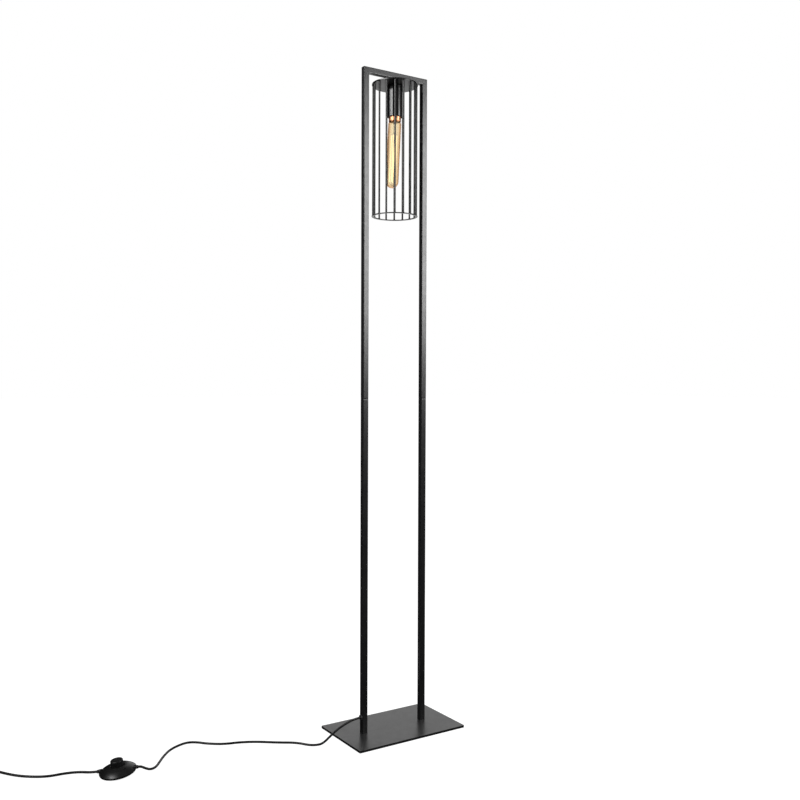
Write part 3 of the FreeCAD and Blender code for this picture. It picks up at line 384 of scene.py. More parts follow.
# %% Top bar
bar_low, bar_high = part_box("top_bar")
bar_level = (bar_low.z + bar_high.z) / 2
places = np.array([-1, -0.996, 0.996, 1])
bar_points = np.empty((len(places), len(square), 3))
bar_points[..., 1:] = square
bar_points[..., 0] = places[:, None] * (bar_high.x - tube_half + square[:, 1])
bar_points[..., 2] += bar_level
surface("top_bar_tube", bar_points, "frame_coat", stands_for=["top_bar"])

# %% [markdown]
# ## Cage
# The disc and the ring are cut from plate and their edges are broken with a file. Each bar is
# welded at both ends, and the weld leaves a small skirt. The skirt is part of the bar's own
# profile: its radius swells towards the ends like a bell curve.

# %% Disc, ring and the sleeve above them
def band(name, low, high, inner, outer, edge, slot, stands_for):
    """A flat ring or a sleeve: a rounded rectangle from inner to outer radius, turned about Z."""
    section = rounded([(inner, low), (outer, low), (outer, high), (inner, high)], edge)
    return surface(name, turned(section, 128), slot, stands_for=stands_for, loop=True)


NIPPLE_HOLE = 0.00505
RING_INNER = 0.047
disc_low, disc_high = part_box("cage_top_disc")
ring_low, ring_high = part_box("cage_bottom_ring")
sleeve_low, sleeve_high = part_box("hanger_spacer")
band("cage_disc", disc_low.z, disc_high.z, NIPPLE_HOLE, disc_high.x, 0.0005, "cage_coat",
     ["cage_top_disc"])
band("cage_ring", ring_low.z, ring_high.z, RING_INNER, ring_high.x, 0.0004, "cage_coat",
     ["cage_bottom_ring"])
band("hanger_sleeve", sleeve_low.z, sleeve_high.z, NIPPLE_HOLE, sleeve_high.x, 0.0004,
     "frame_coat", ["hanger_spacer"])

# %% Upright bars with their weld skirts
BAR_RADIUS = 0.002
SKIRT = 0.0008
SKIRT_HEIGHT = 0.0007
BAR_COUNT = 16

near = np.array([0, 0.00015, 0.0003, 0.0005, 0.0007, 0.0009, 0.0012, 0.0016, 0.0024, 0.004])
bar_length = disc_low.z - ring_high.z
bar_heights = np.concatenate([near, bar_length - near[::-1]])
from_end = np.minimum(bar_heights, bar_length - bar_heights)
bar_profile = np.stack([BAR_RADIUS + SKIRT * np.exp(-(from_end / SKIRT_HEIGHT) ** 2), bar_heights], 1)
for number in range(1, BAR_COUNT + 1):
    node = "cage_bar_%02d" % number
    low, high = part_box(node)
    place = standing((low.x + high.x) / 2, (low.y + high.y) / 2, low.z)
    surface("upright_%02d" % number, moved(turned(bar_profile, 32), place), "cage_coat",
            stands_for=[node])

# %% [markdown]
# ## Lampholder
# A cup is drawn from thin sheet, so its mouth is a thin round lip and its shoulder a small
# radius. One closed profile goes down the outside, round the lip and up the inside again.

# %% Cup
CUP_WALL = 0.0012
CUP_SHOULDER = 0.002

cup_low, cup_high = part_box("lampholder_cover")
cup_radius = cup_high.x
cup_inner = cup_radius - CUP_WALL
cup_profile = rounded(
    [(NIPPLE_HOLE, cup_high.z), (cup_radius, cup_high.z), (cup_radius, cup_low.z),
     (cup_inner, cup_low.z), (cup_inner, cup_high.z - CUP_WALL), (NIPPLE_HOLE, cup_high.z - CUP_WALL)],
    [0.0001, CUP_SHOULDER, 0.00055, 0.00055, 0.0008, 0.0001], steps=7)
surface("cup", turned(cup_profile, 128), "cup_gloss", stands_for=["lampholder_cover"], loop=True)

# %% [markdown]
# ## Bulb
# The glass is a drawn tube, closed at one end by its own flow and waisted at the other where it
# is cemented into the cap. It leans a little in the cap. The wall is thin and even, so the
# profile runs from the tip up the outside, over the rim and down the inside to the tip again.

# %% Glass and its stem
BULB_LEAN = math.radians(2.5)
LEAN_DIRECTION = math.radians(33)
GLASS_LENGTH = 0.151
GLASS_RADIUS = 0.0149
GLASS_WALL = 0.0008
NECK_RADIUS = 0.0122
NECK_LENGTH = 0.007
SHOULDER_LEVEL = -0.006
SHOULDER_LENGTH = 0.0065

cap_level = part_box("bulb_cap")[0].z
lean_axis = Vector((math.sin(LEAN_DIRECTION), math.cos(LEAN_DIRECTION), 0))
bulb_place = standing(0, 0, cap_level) @ Matrix.Rotation(BULB_LEAN, 4, lean_axis)


def eased(t):
    """A step that starts and ends gently: 3 t^2 - 2 t^3."""
    t = np.clip(t, 0, 1)
    return t * t * (3 - 2 * t)


def glass_side(radius, neck, tip):
    """A half circle's quarter at the tip, the tube, a soft shoulder and the neck."""
    turn = np.linspace(0.02, math.pi / 2, 24)
    dome = np.stack([radius * np.sin(turn), tip + radius * (1 - np.cos(turn))], 1)
    wall = np.stack([np.full(12, radius), np.linspace(tip + radius, -0.008, 12)], 1)[1:]
    share = np.linspace(0, 1, 14)[:, None]
    shoulder = np.hstack([radius + (neck - radius) * eased(share),
                          SHOULDER_LEVEL + share * SHOULDER_LENGTH])
    return np.vstack([dome, wall, shoulder, [(neck, NECK_LENGTH - 0.0002)]])


outside = glass_side(GLASS_RADIUS, NECK_RADIUS, -GLASS_LENGTH)
inside = glass_side(GLASS_RADIUS - GLASS_WALL, NECK_RADIUS - GLASS_WALL, -GLASS_LENGTH + GLASS_WALL)
rim = arch(outside[-1], inside[-1], -0.0003, 5)[1:-1]
glass_points = moved(turned(np.vstack([outside, rim, inside[::-1]]), 96), bulb_place)
surface("bulb_envelope", glass_points, "amber_glass", "bulb", ["bulb_glass"])

STEM_LENGTH = 0.026
STEM_RADIUS = 0.003
stem_inner = NECK_RADIUS - GLASS_WALL - 0.0001
stem_profile = rounded([(0.0005, -STEM_LENGTH), (STEM_RADIUS, -STEM_LENGTH), (STEM_RADIUS, -0.004),
                        (stem_inner, 0.002), (stem_inner, NECK_LENGTH), (0.0005, NECK_LENGTH)],
                       [0, 0.001, 0.003, 0.002, 0.0005, 0])
surface("bulb_mount", moved(turned(stem_profile, 48), bulb_place), "stem_glass", "bulb", ["bulb_stem"])

# %% [markdown]
# Four light strips stand round the bulb's axis. Each is a thin rod with a wavy coating. Fine
# wires carry them: from the stem's end outwards to their heads, and below from their feet
# inwards to one glass bead. A wire is a circle carried along a line, with the circle's plane
# square to the way that the line goes.

# %% Light strips and their wires
def tube(path, radius, columns=16):
    """A circle carried along a path. At each point the tangent T is the way from the point
    before to the point after. U is square to T and to a fixed direction, V is T x U, and the
    ring is path + r (U cos a + V sin a)."""
    path = np.asarray(path, float)
    radius = np.broadcast_to(np.asarray(radius, float), len(path))
    tangent = np.gradient(path, axis=0)
    tangent /= np.linalg.norm(tangent, axis=1)[:, None]
    sideways = np.cross(tangent, (0.31, 0.23, 0.92))
    sideways /= np.linalg.norm(sideways, axis=1)[:, None]
    across = np.cross(tangent, sideways)
    angle = np.linspace(0, 2 * math.pi, columns, endpoint=False)[None, :, None]
    ring = sideways[:, None] * np.cos(angle) + across[:, None] * np.sin(angle)
    return path[:, None] + ring * radius[:, None, None]


STRIP_COUNT = 4
STRIP_CIRCLE = 0.0065
STRIP_RADIUS = 0.001
STRIP_LENGTH = 0.107
WIRE_RADIUS = 0.00035
WIRE_DROP = 0.009
WIRE_BOW = 0.0006
WIRE_SINK = 0.0004
RIPPLE = 0.0012
END_ROUND = 0.0012
BEAD_RADIUS = 0.0011

strip_top = -STEM_LENGTH - WIRE_DROP / 2
strip_foot = strip_top - STRIP_LENGTH
bead_level = strip_foot - WIRE_DROP
height = np.linspace(0, STRIP_LENGTH, 241)
past_round = (1 - np.minimum(height, STRIP_LENGTH - height) / END_ROUND).clip(0)
end_round = np.sqrt(np.clip(1 - past_round ** 2, 0.02, 1))
strip_radius = STRIP_RADIUS * end_round * (0.94 + 0.06 * np.sin(2 * math.pi * height / RIPPLE))
for number in range(STRIP_COUNT):
    turn = math.radians(45) + number * 2 * math.pi / STRIP_COUNT
    out = np.array([math.cos(turn), math.sin(turn), 0])
    foot = out * STRIP_CIRCLE + (0, 0, strip_foot)
    head = out * STRIP_CIRCLE + (0, 0, strip_top)
    stem_end = out * STEM_RADIUS / 2 - (0, 0, STEM_LENGTH)
    strip = turned(np.stack([strip_radius, height], 1), 20) + foot
    surface("light_strip_%d" % (number + 1), moved(strip, bulb_place), "filament_coat", "bulb",
            ["bulb_filaments"])
    for label, start, finish in (("upper", stem_end + (0, 0, 0.001), head - (0, 0, WIRE_SINK)),
                                 ("lower", np.array([0, 0, bead_level]), foot + (0, 0, WIRE_SINK))):
        middle = (start + finish) / 2 + out * WIRE_BOW
        t = np.linspace(0, 1, 9)[:, None]
        path = (1 - t) ** 2 * start + 2 * t * (1 - t) * middle + t ** 2 * finish
        surface("%s_wire_%d" % (label, number + 1), moved(tube(path, WIRE_RADIUS, 10), bulb_place),
                "support_wire", "bulb", ["bulb_wires"])
bead_turn = np.linspace(0.05, math.pi - 0.05, 12)
bead = np.stack([BEAD_RADIUS * np.sin(bead_turn), bead_level - BEAD_RADIUS * np.cos(bead_turn)], 1)
surface("wire_bead", moved(turned(bead, 24), bulb_place), "stem_glass", "bulb")

# %% [markdown]
# The cap is pressed from thin sheet and rolled, so its thread is a soft wave and not a cut one.
# The wave climbs one pitch in each turn: radius = middle + depth cos(2 pi z / pitch - angle). It
# fades in above the skirt and out below the shoulder.

# %% Cap with its rolled thread
CAP_RADIUS = 0.0131
CAP_SKIRT = 0.0139
CAP_SKIRT_LENGTH = 0.011
CAP_THREAD_LENGTH = 0.016
CAP_SHEET = 0.0004
CAP_LIP = 0.0081
THREAD_PITCH = 0.00363
THREAD_DEPTH = 0.0005
THREAD_FADE = 0.0012

thread_z = np.linspace(CAP_SKIRT_LENGTH + 0.0004,
                       CAP_SKIRT_LENGTH + CAP_THREAD_LENGTH - THREAD_FADE, 72)
fade = np.clip(np.minimum(thread_z - thread_z[0], thread_z[-1] - thread_z) / THREAD_FADE, 0, 1)
cap_top = CAP_SKIRT_LENGTH + CAP_THREAD_LENGTH
groove_radius = CAP_RADIUS - THREAD_DEPTH
inner_radius = CAP_RADIUS - 2.5 * THREAD_DEPTH
below = rounded([(CAP_SKIRT - CAP_SHEET, 0), (CAP_SKIRT, 0), (CAP_SKIRT, CAP_SKIRT_LENGTH - 0.001),
                 (groove_radius, CAP_SKIRT_LENGTH)], [0.00015, 0.00015, 0.0004, 0])
above = rounded([(groove_radius, thread_z[-1] + 0.0002), (groove_radius, cap_top),
                 (CAP_LIP, cap_top), (CAP_LIP, cap_top - CAP_SHEET)], [0, 0.0006, 0.0001, 0])
back_down = np.array([(inner_radius, cap_top - CAP_SHEET), (inner_radius, CAP_SKIRT_LENGTH),
                      (CAP_SKIRT - CAP_SHEET, CAP_SKIRT_LENGTH - 0.0015)])
thread = np.stack([np.full(len(thread_z), groove_radius), thread_z], 1)
cap_profile = np.vstack([below, thread, above, back_down])
depth = np.concatenate(
    [np.zeros(len(below)), THREAD_DEPTH * fade, np.zeros(len(above) + len(back_down))])
cap_points = turned(cap_profile)
around = np.linspace(0, 2 * math.pi, cap_points.shape[1], endpoint=False)
wave = np.cos(2 * math.pi * cap_profile[:, 1:] / THREAD_PITCH - around)
swell = 1 + depth[:, None] * wave / cap_profile[:, :1]
cap_points[..., :2] *= swell[..., None]
surface("screw_cap", moved(cap_points, standing(0, 0, cap_level)), "cap_copper", "bulb",
        ["bulb_cap"], loop=True)

# %% [markdown]
# ## Bush at the post
# Where the lead leaves the post it passes a short snap-in bush with a soft outer edge. It is
# turned about its own axis and laid along -X by a quarter turn about Y.

# %% Bush
bush_low, bush_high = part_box("cord_bush")
bush_radius = bush_high.y
bush_outside = post_low.x
bush_length = bush_outside - bush_low.x
bush_hole = CORD_RADIUS + 0.00005
bush_profile = rounded([(bush_hole, -0.001), (bush_radius, 0), (bush_radius, bush_length),
                        (bush_hole, bush_length)], [0.0001, 0.0001, 0.0011, 0.0006])
bush_place = standing(bush_outside, 0, bush_face.z) @ Matrix.Rotation(-math.pi / 2, 4, "Y")
surface("lead_bush", moved(turned(bush_profile, 64), bush_place), "bush_plastic",
        stands_for=["cord_bush"], loop=True)

# %% [markdown]
# ## Foot switch
# Two mouldings meet at the switch's widest line. The upper one is a low dome with a hole for the
# button and a short collar on each side, where it grips the lead. The lower one is drawn in
# below, which leaves a shade line all round. The button is a flat cap with a soft edge.

# %% Dome, foot and button
SWITCH_RADIUS = 0.037
SWITCH_SPLIT = 0.0025
SWITCH_EDGE = 0.004
SWITCH_TOP = 0.0145
SWITCH_WALL = 0.002
DOME_RISE = 0.00195
HOLE_ROUND = 0.0011
SHADE_LINE = 0.0008
BUTTON_RADIUS = 0.0126
BUTTON_HOLE = 0.013
BUTTON_TOP = 0.026
BUTTON_FLANGE = (0.0146, 0.0101, 0.0111)
BUTTON_WALL = 0.002

hole_brim = (BUTTON_HOLE + HOLE_ROUND, SWITCH_TOP)
dome_out = arch((SWITCH_RADIUS, SWITCH_EDGE + 0.0006), hole_brim, -DOME_RISE, 24)
dome_in = arch((BUTTON_HOLE, SWITCH_TOP - SWITCH_WALL),
               (SWITCH_RADIUS - SWITCH_WALL, SWITCH_EDGE), DOME_RISE, 16)
rim_low = rounded([(SWITCH_RADIUS - SWITCH_WALL, SWITCH_SPLIT), (SWITCH_RADIUS, SWITCH_SPLIT),
                   (SWITCH_RADIUS, SWITCH_EDGE)], [0.0001, 0.0006, 0])
hole_edge = arch(hole_brim, (BUTTON_HOLE, SWITCH_TOP - HOLE_ROUND), -0.00023, 5)[1:]
dome_profile = np.vstack([rim_low, dome_out, hole_edge, dome_in])
surface("switch_dome", moved(turned(dome_profile, 160), switch_place), "switch_plastic",
        stands_for=["switch_cover"], loop=True)

foot_top = SWITCH_RADIUS - SHADE_LINE
foot_profile = rounded([(0.001, 0), (SWITCH_FOOT_RADIUS, 0), (foot_top, 0.001),
                        (foot_top, SWITCH_SPLIT), (0.001, SWITCH_SPLIT)],
                       [0, 0.0004, 0.0004, 0.0001, 0])
surface("switch_foot", moved(turned(foot_profile, 160), switch_place), "switch_plastic",
        stands_for=["switch_base"])

flange_radius, flange_low, flange_high = BUTTON_FLANGE
button_inner = BUTTON_RADIUS - BUTTON_WALL
button_profile = np.vstack([
    [(0.0003, BUTTON_TOP)],
    rounded([(0.0003, BUTTON_TOP), (BUTTON_RADIUS, BUTTON_TOP), (BUTTON_RADIUS, flange_high),
             (flange_radius, flange_high), (flange_radius, flange_low),
             (button_inner, flange_low), (button_inner, BUTTON_TOP - BUTTON_WALL),
             (0.0003, BUTTON_TOP - BUTTON_WALL)],
            [0, 0.0017, 0.0002, 0.0002, 0.0002, 0.0002, 0.0005, 0], steps=8)[1:]])
surface("switch_push", moved(turned(button_profile, 128), switch_place), "button_plastic", "button",
        ["switch_button"])

# %% Collars that grip the lead
COLLAR_RADIUS = 0.0035
GRIP_RIBS = 3
RIB_HEIGHT = 0.00018
COLLAR_FLARE = 0.0012

reach = np.linspace(SWITCH_RADIUS - 0.004, COLLAR_REACH, 49)
share = (reach - reach[0]) / (reach[-1] - reach[0])
ribs = RIB_HEIGHT * np.cos(2 * math.pi * GRIP_RIBS * share)
taper = COLLAR_RADIUS + COLLAR_FLARE * (1 - share) ** 2 + ribs
collar_profile = np.vstack([np.stack([taper, reach], 1), [(CORD_RADIUS + 0.0004, COLLAR_REACH)]])
for label, turn in (("in", 90), ("out", -90)):
    place = switch_place @ standing(0, 0, COLLAR_HEIGHT) @ Matrix.Rotation(math.radians(turn), 4, "Y")
    surface("switch_collar_" + label, moved(turned(collar_profile, 48), place), "switch_plastic")

# %% [markdown]
# ## Plug
# A flat two-pin plug is moulded on the lead in one go: a ribbed, tapered relief swells into the
# flat body that fingers hold. Its section changes from a circle into a flat round-cornered shape,
# and a superellipse does that with one number: |x/a|^n + |y/b|^n = 1 is a circle at n = 2 and
# nears a rectangle as n grows.

# %% Plug's moulding
RELIEF_LENGTH = 0.024
PLUG_LENGTH = 0.036
PLUG_HALF_WIDTH = 0.0175
PLUG_HALF_THICKNESS = 0.00685
BODY_START = 0.02
FRONT_EDGE = 0.0012
GROOVE_SPACING = 0.003

plug_end = tail[-1]
plug_heading = (tail[-1] - tail[-2]).normalized()
plug_side = plug_heading.cross(Vector((0, 0, -1)))
plug_up = plug_heading.cross(plug_side)
plug_place = Matrix([(*row, place) for row, place in zip(
    zip(plug_side, plug_up, plug_heading), plug_end)] + [(0, 0, 0, 1)])


def superellipse(wide, thick, power, levels, columns=96):
    """Rings (a |cos t|^(2/n) sign(cos t), b |sin t|^(2/n) sign(sin t)), one at each level."""
    turn = np.linspace(0, 2 * math.pi, columns, endpoint=False)[None, :]
    power = 2 / np.asarray(power)[:, None]
    x = np.sign(np.cos(turn)) * np.abs(np.cos(turn)) ** power * np.asarray(wide)[:, None]
    y = np.sign(np.sin(turn)) * np.abs(np.sin(turn)) ** power * np.asarray(thick)[:, None]
    z = np.broadcast_to(np.asarray(levels)[:, None], x.shape)
    return np.stack([x, y, z], -1)


plug_total = RELIEF_LENGTH + PLUG_LENGTH
front = plug_total - FRONT_EDGE
level = np.concatenate([np.linspace(0, BODY_START, 120), np.linspace(BODY_START, front, 60)[1:],
                        plug_total - FRONT_EDGE * (1 - np.sin(np.linspace(0, math.pi / 2, 8)[1:]))])
swell = eased((level - BODY_START) / 0.02)
relief = CORD_RADIUS + 0.0007 + 0.0014 * level / RELIEF_LENGTH
groove = 0.00035 * np.clip(np.cos(2 * math.pi * level / GROOVE_SPACING), -0.3, 0.6)
groove *= level < BODY_START - 0.002
corner = np.sqrt(np.clip(1 - ((level - plug_total + FRONT_EDGE) / FRONT_EDGE).clip(0) ** 2, 0, 1))
drawn_in = FRONT_EDGE * (1 - corner)
wide = relief + groove + (PLUG_HALF_WIDTH - relief) * swell - drawn_in
thick = relief + groove + (PLUG_HALF_THICKNESS - relief) * swell - drawn_in
power = 2 + 1.4 * swell
surface("plug_moulding", moved(superellipse(wide, thick, power, level), plug_place), "plug_plastic",
        stands_for=["plug_body"])

# %% Plug's pins, bare at the tips and sleeved at the root
PIN_RADIUS = 0.002
PIN_SPACING = 0.0186
PIN_LENGTH = 0.019
SLEEVE_LENGTH = 0.01

for label, side in (("left", -1), ("right", 1)):
    root = plug_place @ standing(side * PIN_SPACING / 2, 0, plug_total - 0.0002)
    sleeve = rounded([(0.0003, 0), (PIN_RADIUS - 0.0001, 0), (PIN_RADIUS - 0.0001, SLEEVE_LENGTH),
                      (0.0003, SLEEVE_LENGTH)], [0, 0.0001, 0.0003, 0])
    tip = rounded([(0.0003, SLEEVE_LENGTH - 0.001), (PIN_RADIUS, SLEEVE_LENGTH - 0.001),
                   (PIN_RADIUS, PIN_LENGTH), (0.0003, PIN_LENGTH)], [0, 0.0003, 0.0009, 0])
    surface("pin_sleeve_" + label, moved(turned(sleeve, 32), root), "plug_plastic")
    surface("pin_tip_" + label, moved(turned(tip, 32), root), "pin_nickel", stands_for=["plug_pins"])

# %% [markdown]
# ## What the cord is
# The two stretches of lead are one mains cord, cut in two by the switch.

# %% [markdown]
# ## Studio
# A black object shows its shape by what it mirrors. The room is white for what the camera sees
# and for what gloss and glass show, and dimmer as a lamp, so that black stays black. A tall
# softbox stands where the front faces of the posts mirror it, from half their height upwards,
# and a second one at the left puts the highlight on the cup. Black cloths stand where the other
# faces look, on the floor and overhead too. They keep those faces deep black and the edges crisp.

# %% Shader node helpers
def node(tree, kind, sockets=(), **settings):
    """One shader node. sockets pairs an input's name or number with a value or with the output
    that feeds it. The outputs come back."""
    made = tree.nodes.new("ShaderNode" + kind)
    for label, value in settings.items():
        setattr(made, label, value)
    for key, value in dict(sockets).items():
        if isinstance(value, bpy.types.NodeSocket):
            tree.links.new(value, made.inputs[key])
        else:
            made.inputs[key].default_value = value
    return made.outputs


def calc(tree, operation, first, second=0.0, third=0.0):
    """One Math node: the result of operation(first, second, third)."""
    return node(tree, "Math", {0: first, 1: second, 2: third}, operation=operation)[0]


def blend_colours(tree, share, first, second):
    """The colour first + share (second - first)."""
    return node(tree, "Mix", {0: share, 6: first, 7: second}, data_type="RGBA")[2]


def seen_or_mirrored(tree):
    """1 for a ray from the camera, from gloss or through glass, and 0 for light on its way."""
    path = node(tree, "LightPath")
    both = calc(tree, "MAXIMUM", path["Is Camera Ray"], path["Is Glossy Ray"])
    return calc(tree, "MAXIMUM", both, path["Is Transmission Ray"])


# %% White room
WORLD_AS_LAMP = 0.4

world = bpy.data.worlds.new("white_room")
world.use_nodes = True
world.node_tree.nodes.clear()
room = world.node_tree
bright = node(room, "Background", {"Color": (1, 1, 1, 1), "Strength": 1.0})[0]
soft = node(room, "Background", {"Color": (1, 1, 1, 1), "Strength": WORLD_AS_LAMP})[0]
mixed = node(room, "MixShader", {0: seen_or_mirrored(room), 1: soft, 2: bright})[0]
node(room, "OutputWorld", {"Surface": mixed})
scene.world = world
scene.view_settings.view_transform = "Standard"

# %% Pale floor that keeps a faint shadow
FLOOR_GLOW = 0.95
FLOOR_ALBEDO = 0.2
FLOOR_HALF = 40.0
FLOOR_DROP = 0.0002

corners = [(x * FLOOR_HALF, y * FLOOR_HALF, -FLOOR_DROP) for x, y in ((-1, -1), (1, -1), (1, 1), (-1, 1))]
floor_mesh = bpy.data.meshes.new("floor")
floor_mesh.from_pydata(corners, [], [(0, 1, 2, 3)])
floor = bpy.data.objects.new("floor", floor_mesh)
scene.collection.objects.link(floor)
paint = bpy.data.materials.new("pale_floor")
paint.use_nodes = True
paint.node_tree.nodes.clear()
tree = paint.node_tree
glow = node(tree, "Emission", {"Color": (1, 1, 1, 1), "Strength": FLOOR_GLOW})[0]
matt = node(tree, "BsdfDiffuse", {"Color": (FLOOR_ALBEDO, FLOOR_ALBEDO, FLOOR_ALBEDO, 1)})[0]
plain = node(tree, "BsdfDiffuse", {"Color": (0.6, 0.6, 0.6, 1)})[0]
lit = node(tree, "AddShader", {0: glow, 1: matt})[0]
mixed = node(tree, "MixShader", {0: seen_or_mirrored(tree), 1: plain, 2: lit})[0]
node(tree, "OutputMaterial", {"Surface": mixed})
floor_mesh.materials.append(paint)

# %% Softboxes and overhead panel
def panel(name, place, heading, pitch, size, radiance):
    """A rectangular light of an even radiance. Its power is pi times radiance times area. It
    shines along its own -Z, which heading and pitch turn as they turn the camera."""
    light = bpy.data.lights.new(name, "AREA")
    light.shape = "RECTANGLE"
    light.size, light.size_y = size
    light.energy = math.pi * radiance * size[0] * size[1]
    holder = bpy.data.objects.new(name, light)
    holder.matrix_world = (Matrix.Translation(place) @ Matrix.Rotation(math.radians(heading), 4, "Z")
                           @ Matrix.Rotation(math.radians(90 + pitch), 4, "X"))
    holder.visible_camera = False
    scene.collection.objects.link(holder)
    print("%s: %.1f W" % (name, light.energy))
    return holder


panel("tall_softbox", (0.93, -1.423, 1.447), 33.2, 0, (0.7, 0.89), 14.5)
overhead = panel("overhead_panel", (0.0, -0.2, 2.6), 0, -90, (2.0, 2.0), 1.0)
overhead.visible_glossy = False

panel("side_softbox", (-1.7, 0.02, 1.95), -90, 0, (1.15, 0.7), 18.0)

# %% [markdown]
# Glass mirrors only a few rays in a hundred, so a bright softbox in it comes out as speckle. A
# photographer flags the light off the glass. Light linking does that here: the bulb's envelope is
# the one piece that neither softbox reaches.

# %% Softboxes kept off the bulb's glass
not_on_glass = bpy.data.collections.new("kept_off_the_glass")
not_on_glass.objects.link(bpy.data.objects["bulb_envelope"])
not_on_glass.collection_objects[0].light_linking.link_state = "EXCLUDE"
for name in ("tall_softbox", "side_softbox"):
    bpy.data.objects[name].light_linking.receiver_collection = not_on_glass

# %% Black cloths that only gloss sees
def dark_card(name, corners):
    """Black cloth on a frame, given by four corners. Only gloss shows it."""
    mesh = bpy.data.meshes.new(name)
    mesh.from_pydata(corners, [], [(0, 1, 2, 3)])
    mesh.materials.append(cloth)
    card = bpy.data.objects.new(name, mesh)
    scene.collection.objects.link(card)
    for ray in ("camera", "diffuse", "transmission", "shadow", "volume_scatter"):
        setattr(card, "visible_" + ray, False)


cloth = bpy.data.materials.new("black_cloth")
cloth.use_nodes = True
cloth.node_tree.nodes.clear()
matt = node(cloth.node_tree, "BsdfDiffuse", {"Color": (0.01, 0.01, 0.01, 1)})[0]
node(cloth.node_tree, "OutputMaterial", {"Surface": matt})
dark_card("card_behind", [(-1.95, 0.61, -0.05), (0.2, 2.07, -0.05), (0.2, 2.07, 2.5), (-1.95, 0.61, 2.5)])
dark_card("card_by_camera", [(-2.3, -0.95, 0.0), (0.7, -2.6, 0.0), (0.7, -2.6, 2.8), (-2.3, -0.95, 2.8)])
dark_card("card_at_right", [(1.5, -0.95, 0.0), (1.9, 0.75, 0.0), (1.9, 0.75, 2.6), (1.5, -0.95, 2.6)])
dark_card("card_in_front", [(-0.1, -2.0, 0.0), (2.0, -0.67, 0.0), (2.0, -0.67, 0.78), (-0.1, -2.0, 0.78)])
dark_card("cloth_on_floor", [(-2.3, -2.6, 0.0), (2.0, -2.6, 0.0), (2.0, 0.3, 0.0), (-2.3, 0.3, 0.0)])
dark_card("cloth_behind", [(-2.3, 0.3, 0.0), (-0.1, 0.3, 0.0), (0.2, 2.07, 0.0), (-1.95, 0.61, 0.0)])
dark_card("dark_ceiling", [(-3.0, -3.0, 2.9), (3.0, -3.0, 2.9), (3.0, 3.0, 2.9), (-3.0, 3.0, 2.9)])

# %% [markdown]
# ## What finishes have in common
# Powder paint, moulded plastic and rolled metal differ in colour and gloss, but share a few
# effects: a fine grain, edges rubbed a little brighter, dust on what faces up, and dull smears
# where hands have been. Each effect is a node group, built once. A group only works out masks
# and heights, and every material decides what it does with them.

# %% Node group: fine grain
def group(name, inputs, outputs):
    """An empty group with named sockets, each a float, or a vector if its value is None."""
    tree = bpy.data.node_groups.new(name, "ShaderNodeTree")
    for label, value in inputs.items():
        kind = "NodeSocketVector" if value is None else "NodeSocketFloat"
        socket = tree.interface.new_socket(label, in_out="INPUT", socket_type=kind)
        if value is not None:
            socket.default_value = value
    for label in outputs:
        tree.interface.new_socket(label, in_out="OUTPUT", socket_type="NodeSocketFloat")
    return tree, tree.nodes.new("NodeGroupInput").outputs, tree.nodes.new("NodeGroupOutput").inputs


def patches(tree, place, scale, low, high, detail=3.0):
    """Soft blotches: noise at a scale, stretched so that low becomes 0 and high becomes 1."""
    noise = node(tree, "TexNoise", {"Vector": place, "Scale": scale, "Detail": detail})[0]
    return node(tree, "MapRange", {"Value": noise, "From Min": low, "From Max": high})[0]


fine_grain, given, result = group("fine_grain", {"Place": None, "Size": 0.001}, ["Height", "Mottle"])
per_metre = calc(fine_grain, "DIVIDE", 1.0, given["Size"])
coarse = node(fine_grain, "TexNoise", {"Vector": given["Place"], "Scale": per_metre, "Detail": 2.0})[0]
finer = node(fine_grain, "TexNoise", {"Vector": given["Place"], "Detail": 2.0,
                                      "Scale": calc(fine_grain, "MULTIPLY", per_metre, 3.7)})[0]
height = calc(fine_grain, "MULTIPLY_ADD", finer, 0.35, calc(fine_grain, "MULTIPLY", coarse, 0.65))
fine_grain.links.new(height, result["Height"])
wide_scale = calc(fine_grain, "MULTIPLY", per_metre, 0.04)
fine_grain.links.new(patches(fine_grain, given["Place"], wide_scale, 0.3, 0.7), result["Mottle"])

# %% Node group: worn edges
worn_edges, given, result = group("worn_edges", {"Place": None, "Reach": 0.001}, ["Wear"])
rounded_normal = node(worn_edges, "Bevel", {"Radius": given["Reach"]}, samples=6)[0]
own_normal = node(worn_edges, "NewGeometry")["Normal"]
same = node(worn_edges, "VectorMath", {0: rounded_normal, 1: own_normal}, operation="DOT_PRODUCT")["Value"]
turned_away = node(worn_edges, "MapRange", {"Value": calc(worn_edges, "SUBTRACT", 1.0, same),
                                            "From Min": 0.01, "From Max": 0.22})[0]
broken = patches(worn_edges, given["Place"], 240.0, 0.38, 0.62, 4.0)
worn_edges.links.new(calc(worn_edges, "MULTIPLY", turned_away, broken), result["Wear"])

# %% Node group: settled dust
settled_dust, given, result = group("settled_dust", {"Place": None}, ["Dust"])
facing = node(settled_dust, "SeparateXYZ", {0: node(settled_dust, "NewGeometry")["Normal"]})["Z"]
upward = node(settled_dust, "MapRange", {"Value": facing, "From Min": 0.55, "From Max": 1.0})[0]
drifts = patches(settled_dust, given["Place"], 14.0, 0.3, 0.75)
specks = patches(settled_dust, given["Place"], 1700.0, 0.58, 0.72, 1.0)
layer = calc(settled_dust, "MULTIPLY_ADD", specks, 0.7, calc(settled_dust, "MULTIPLY", drifts, 0.3))
settled_dust.links.new(calc(settled_dust, "MULTIPLY", upward, layer), result["Dust"])

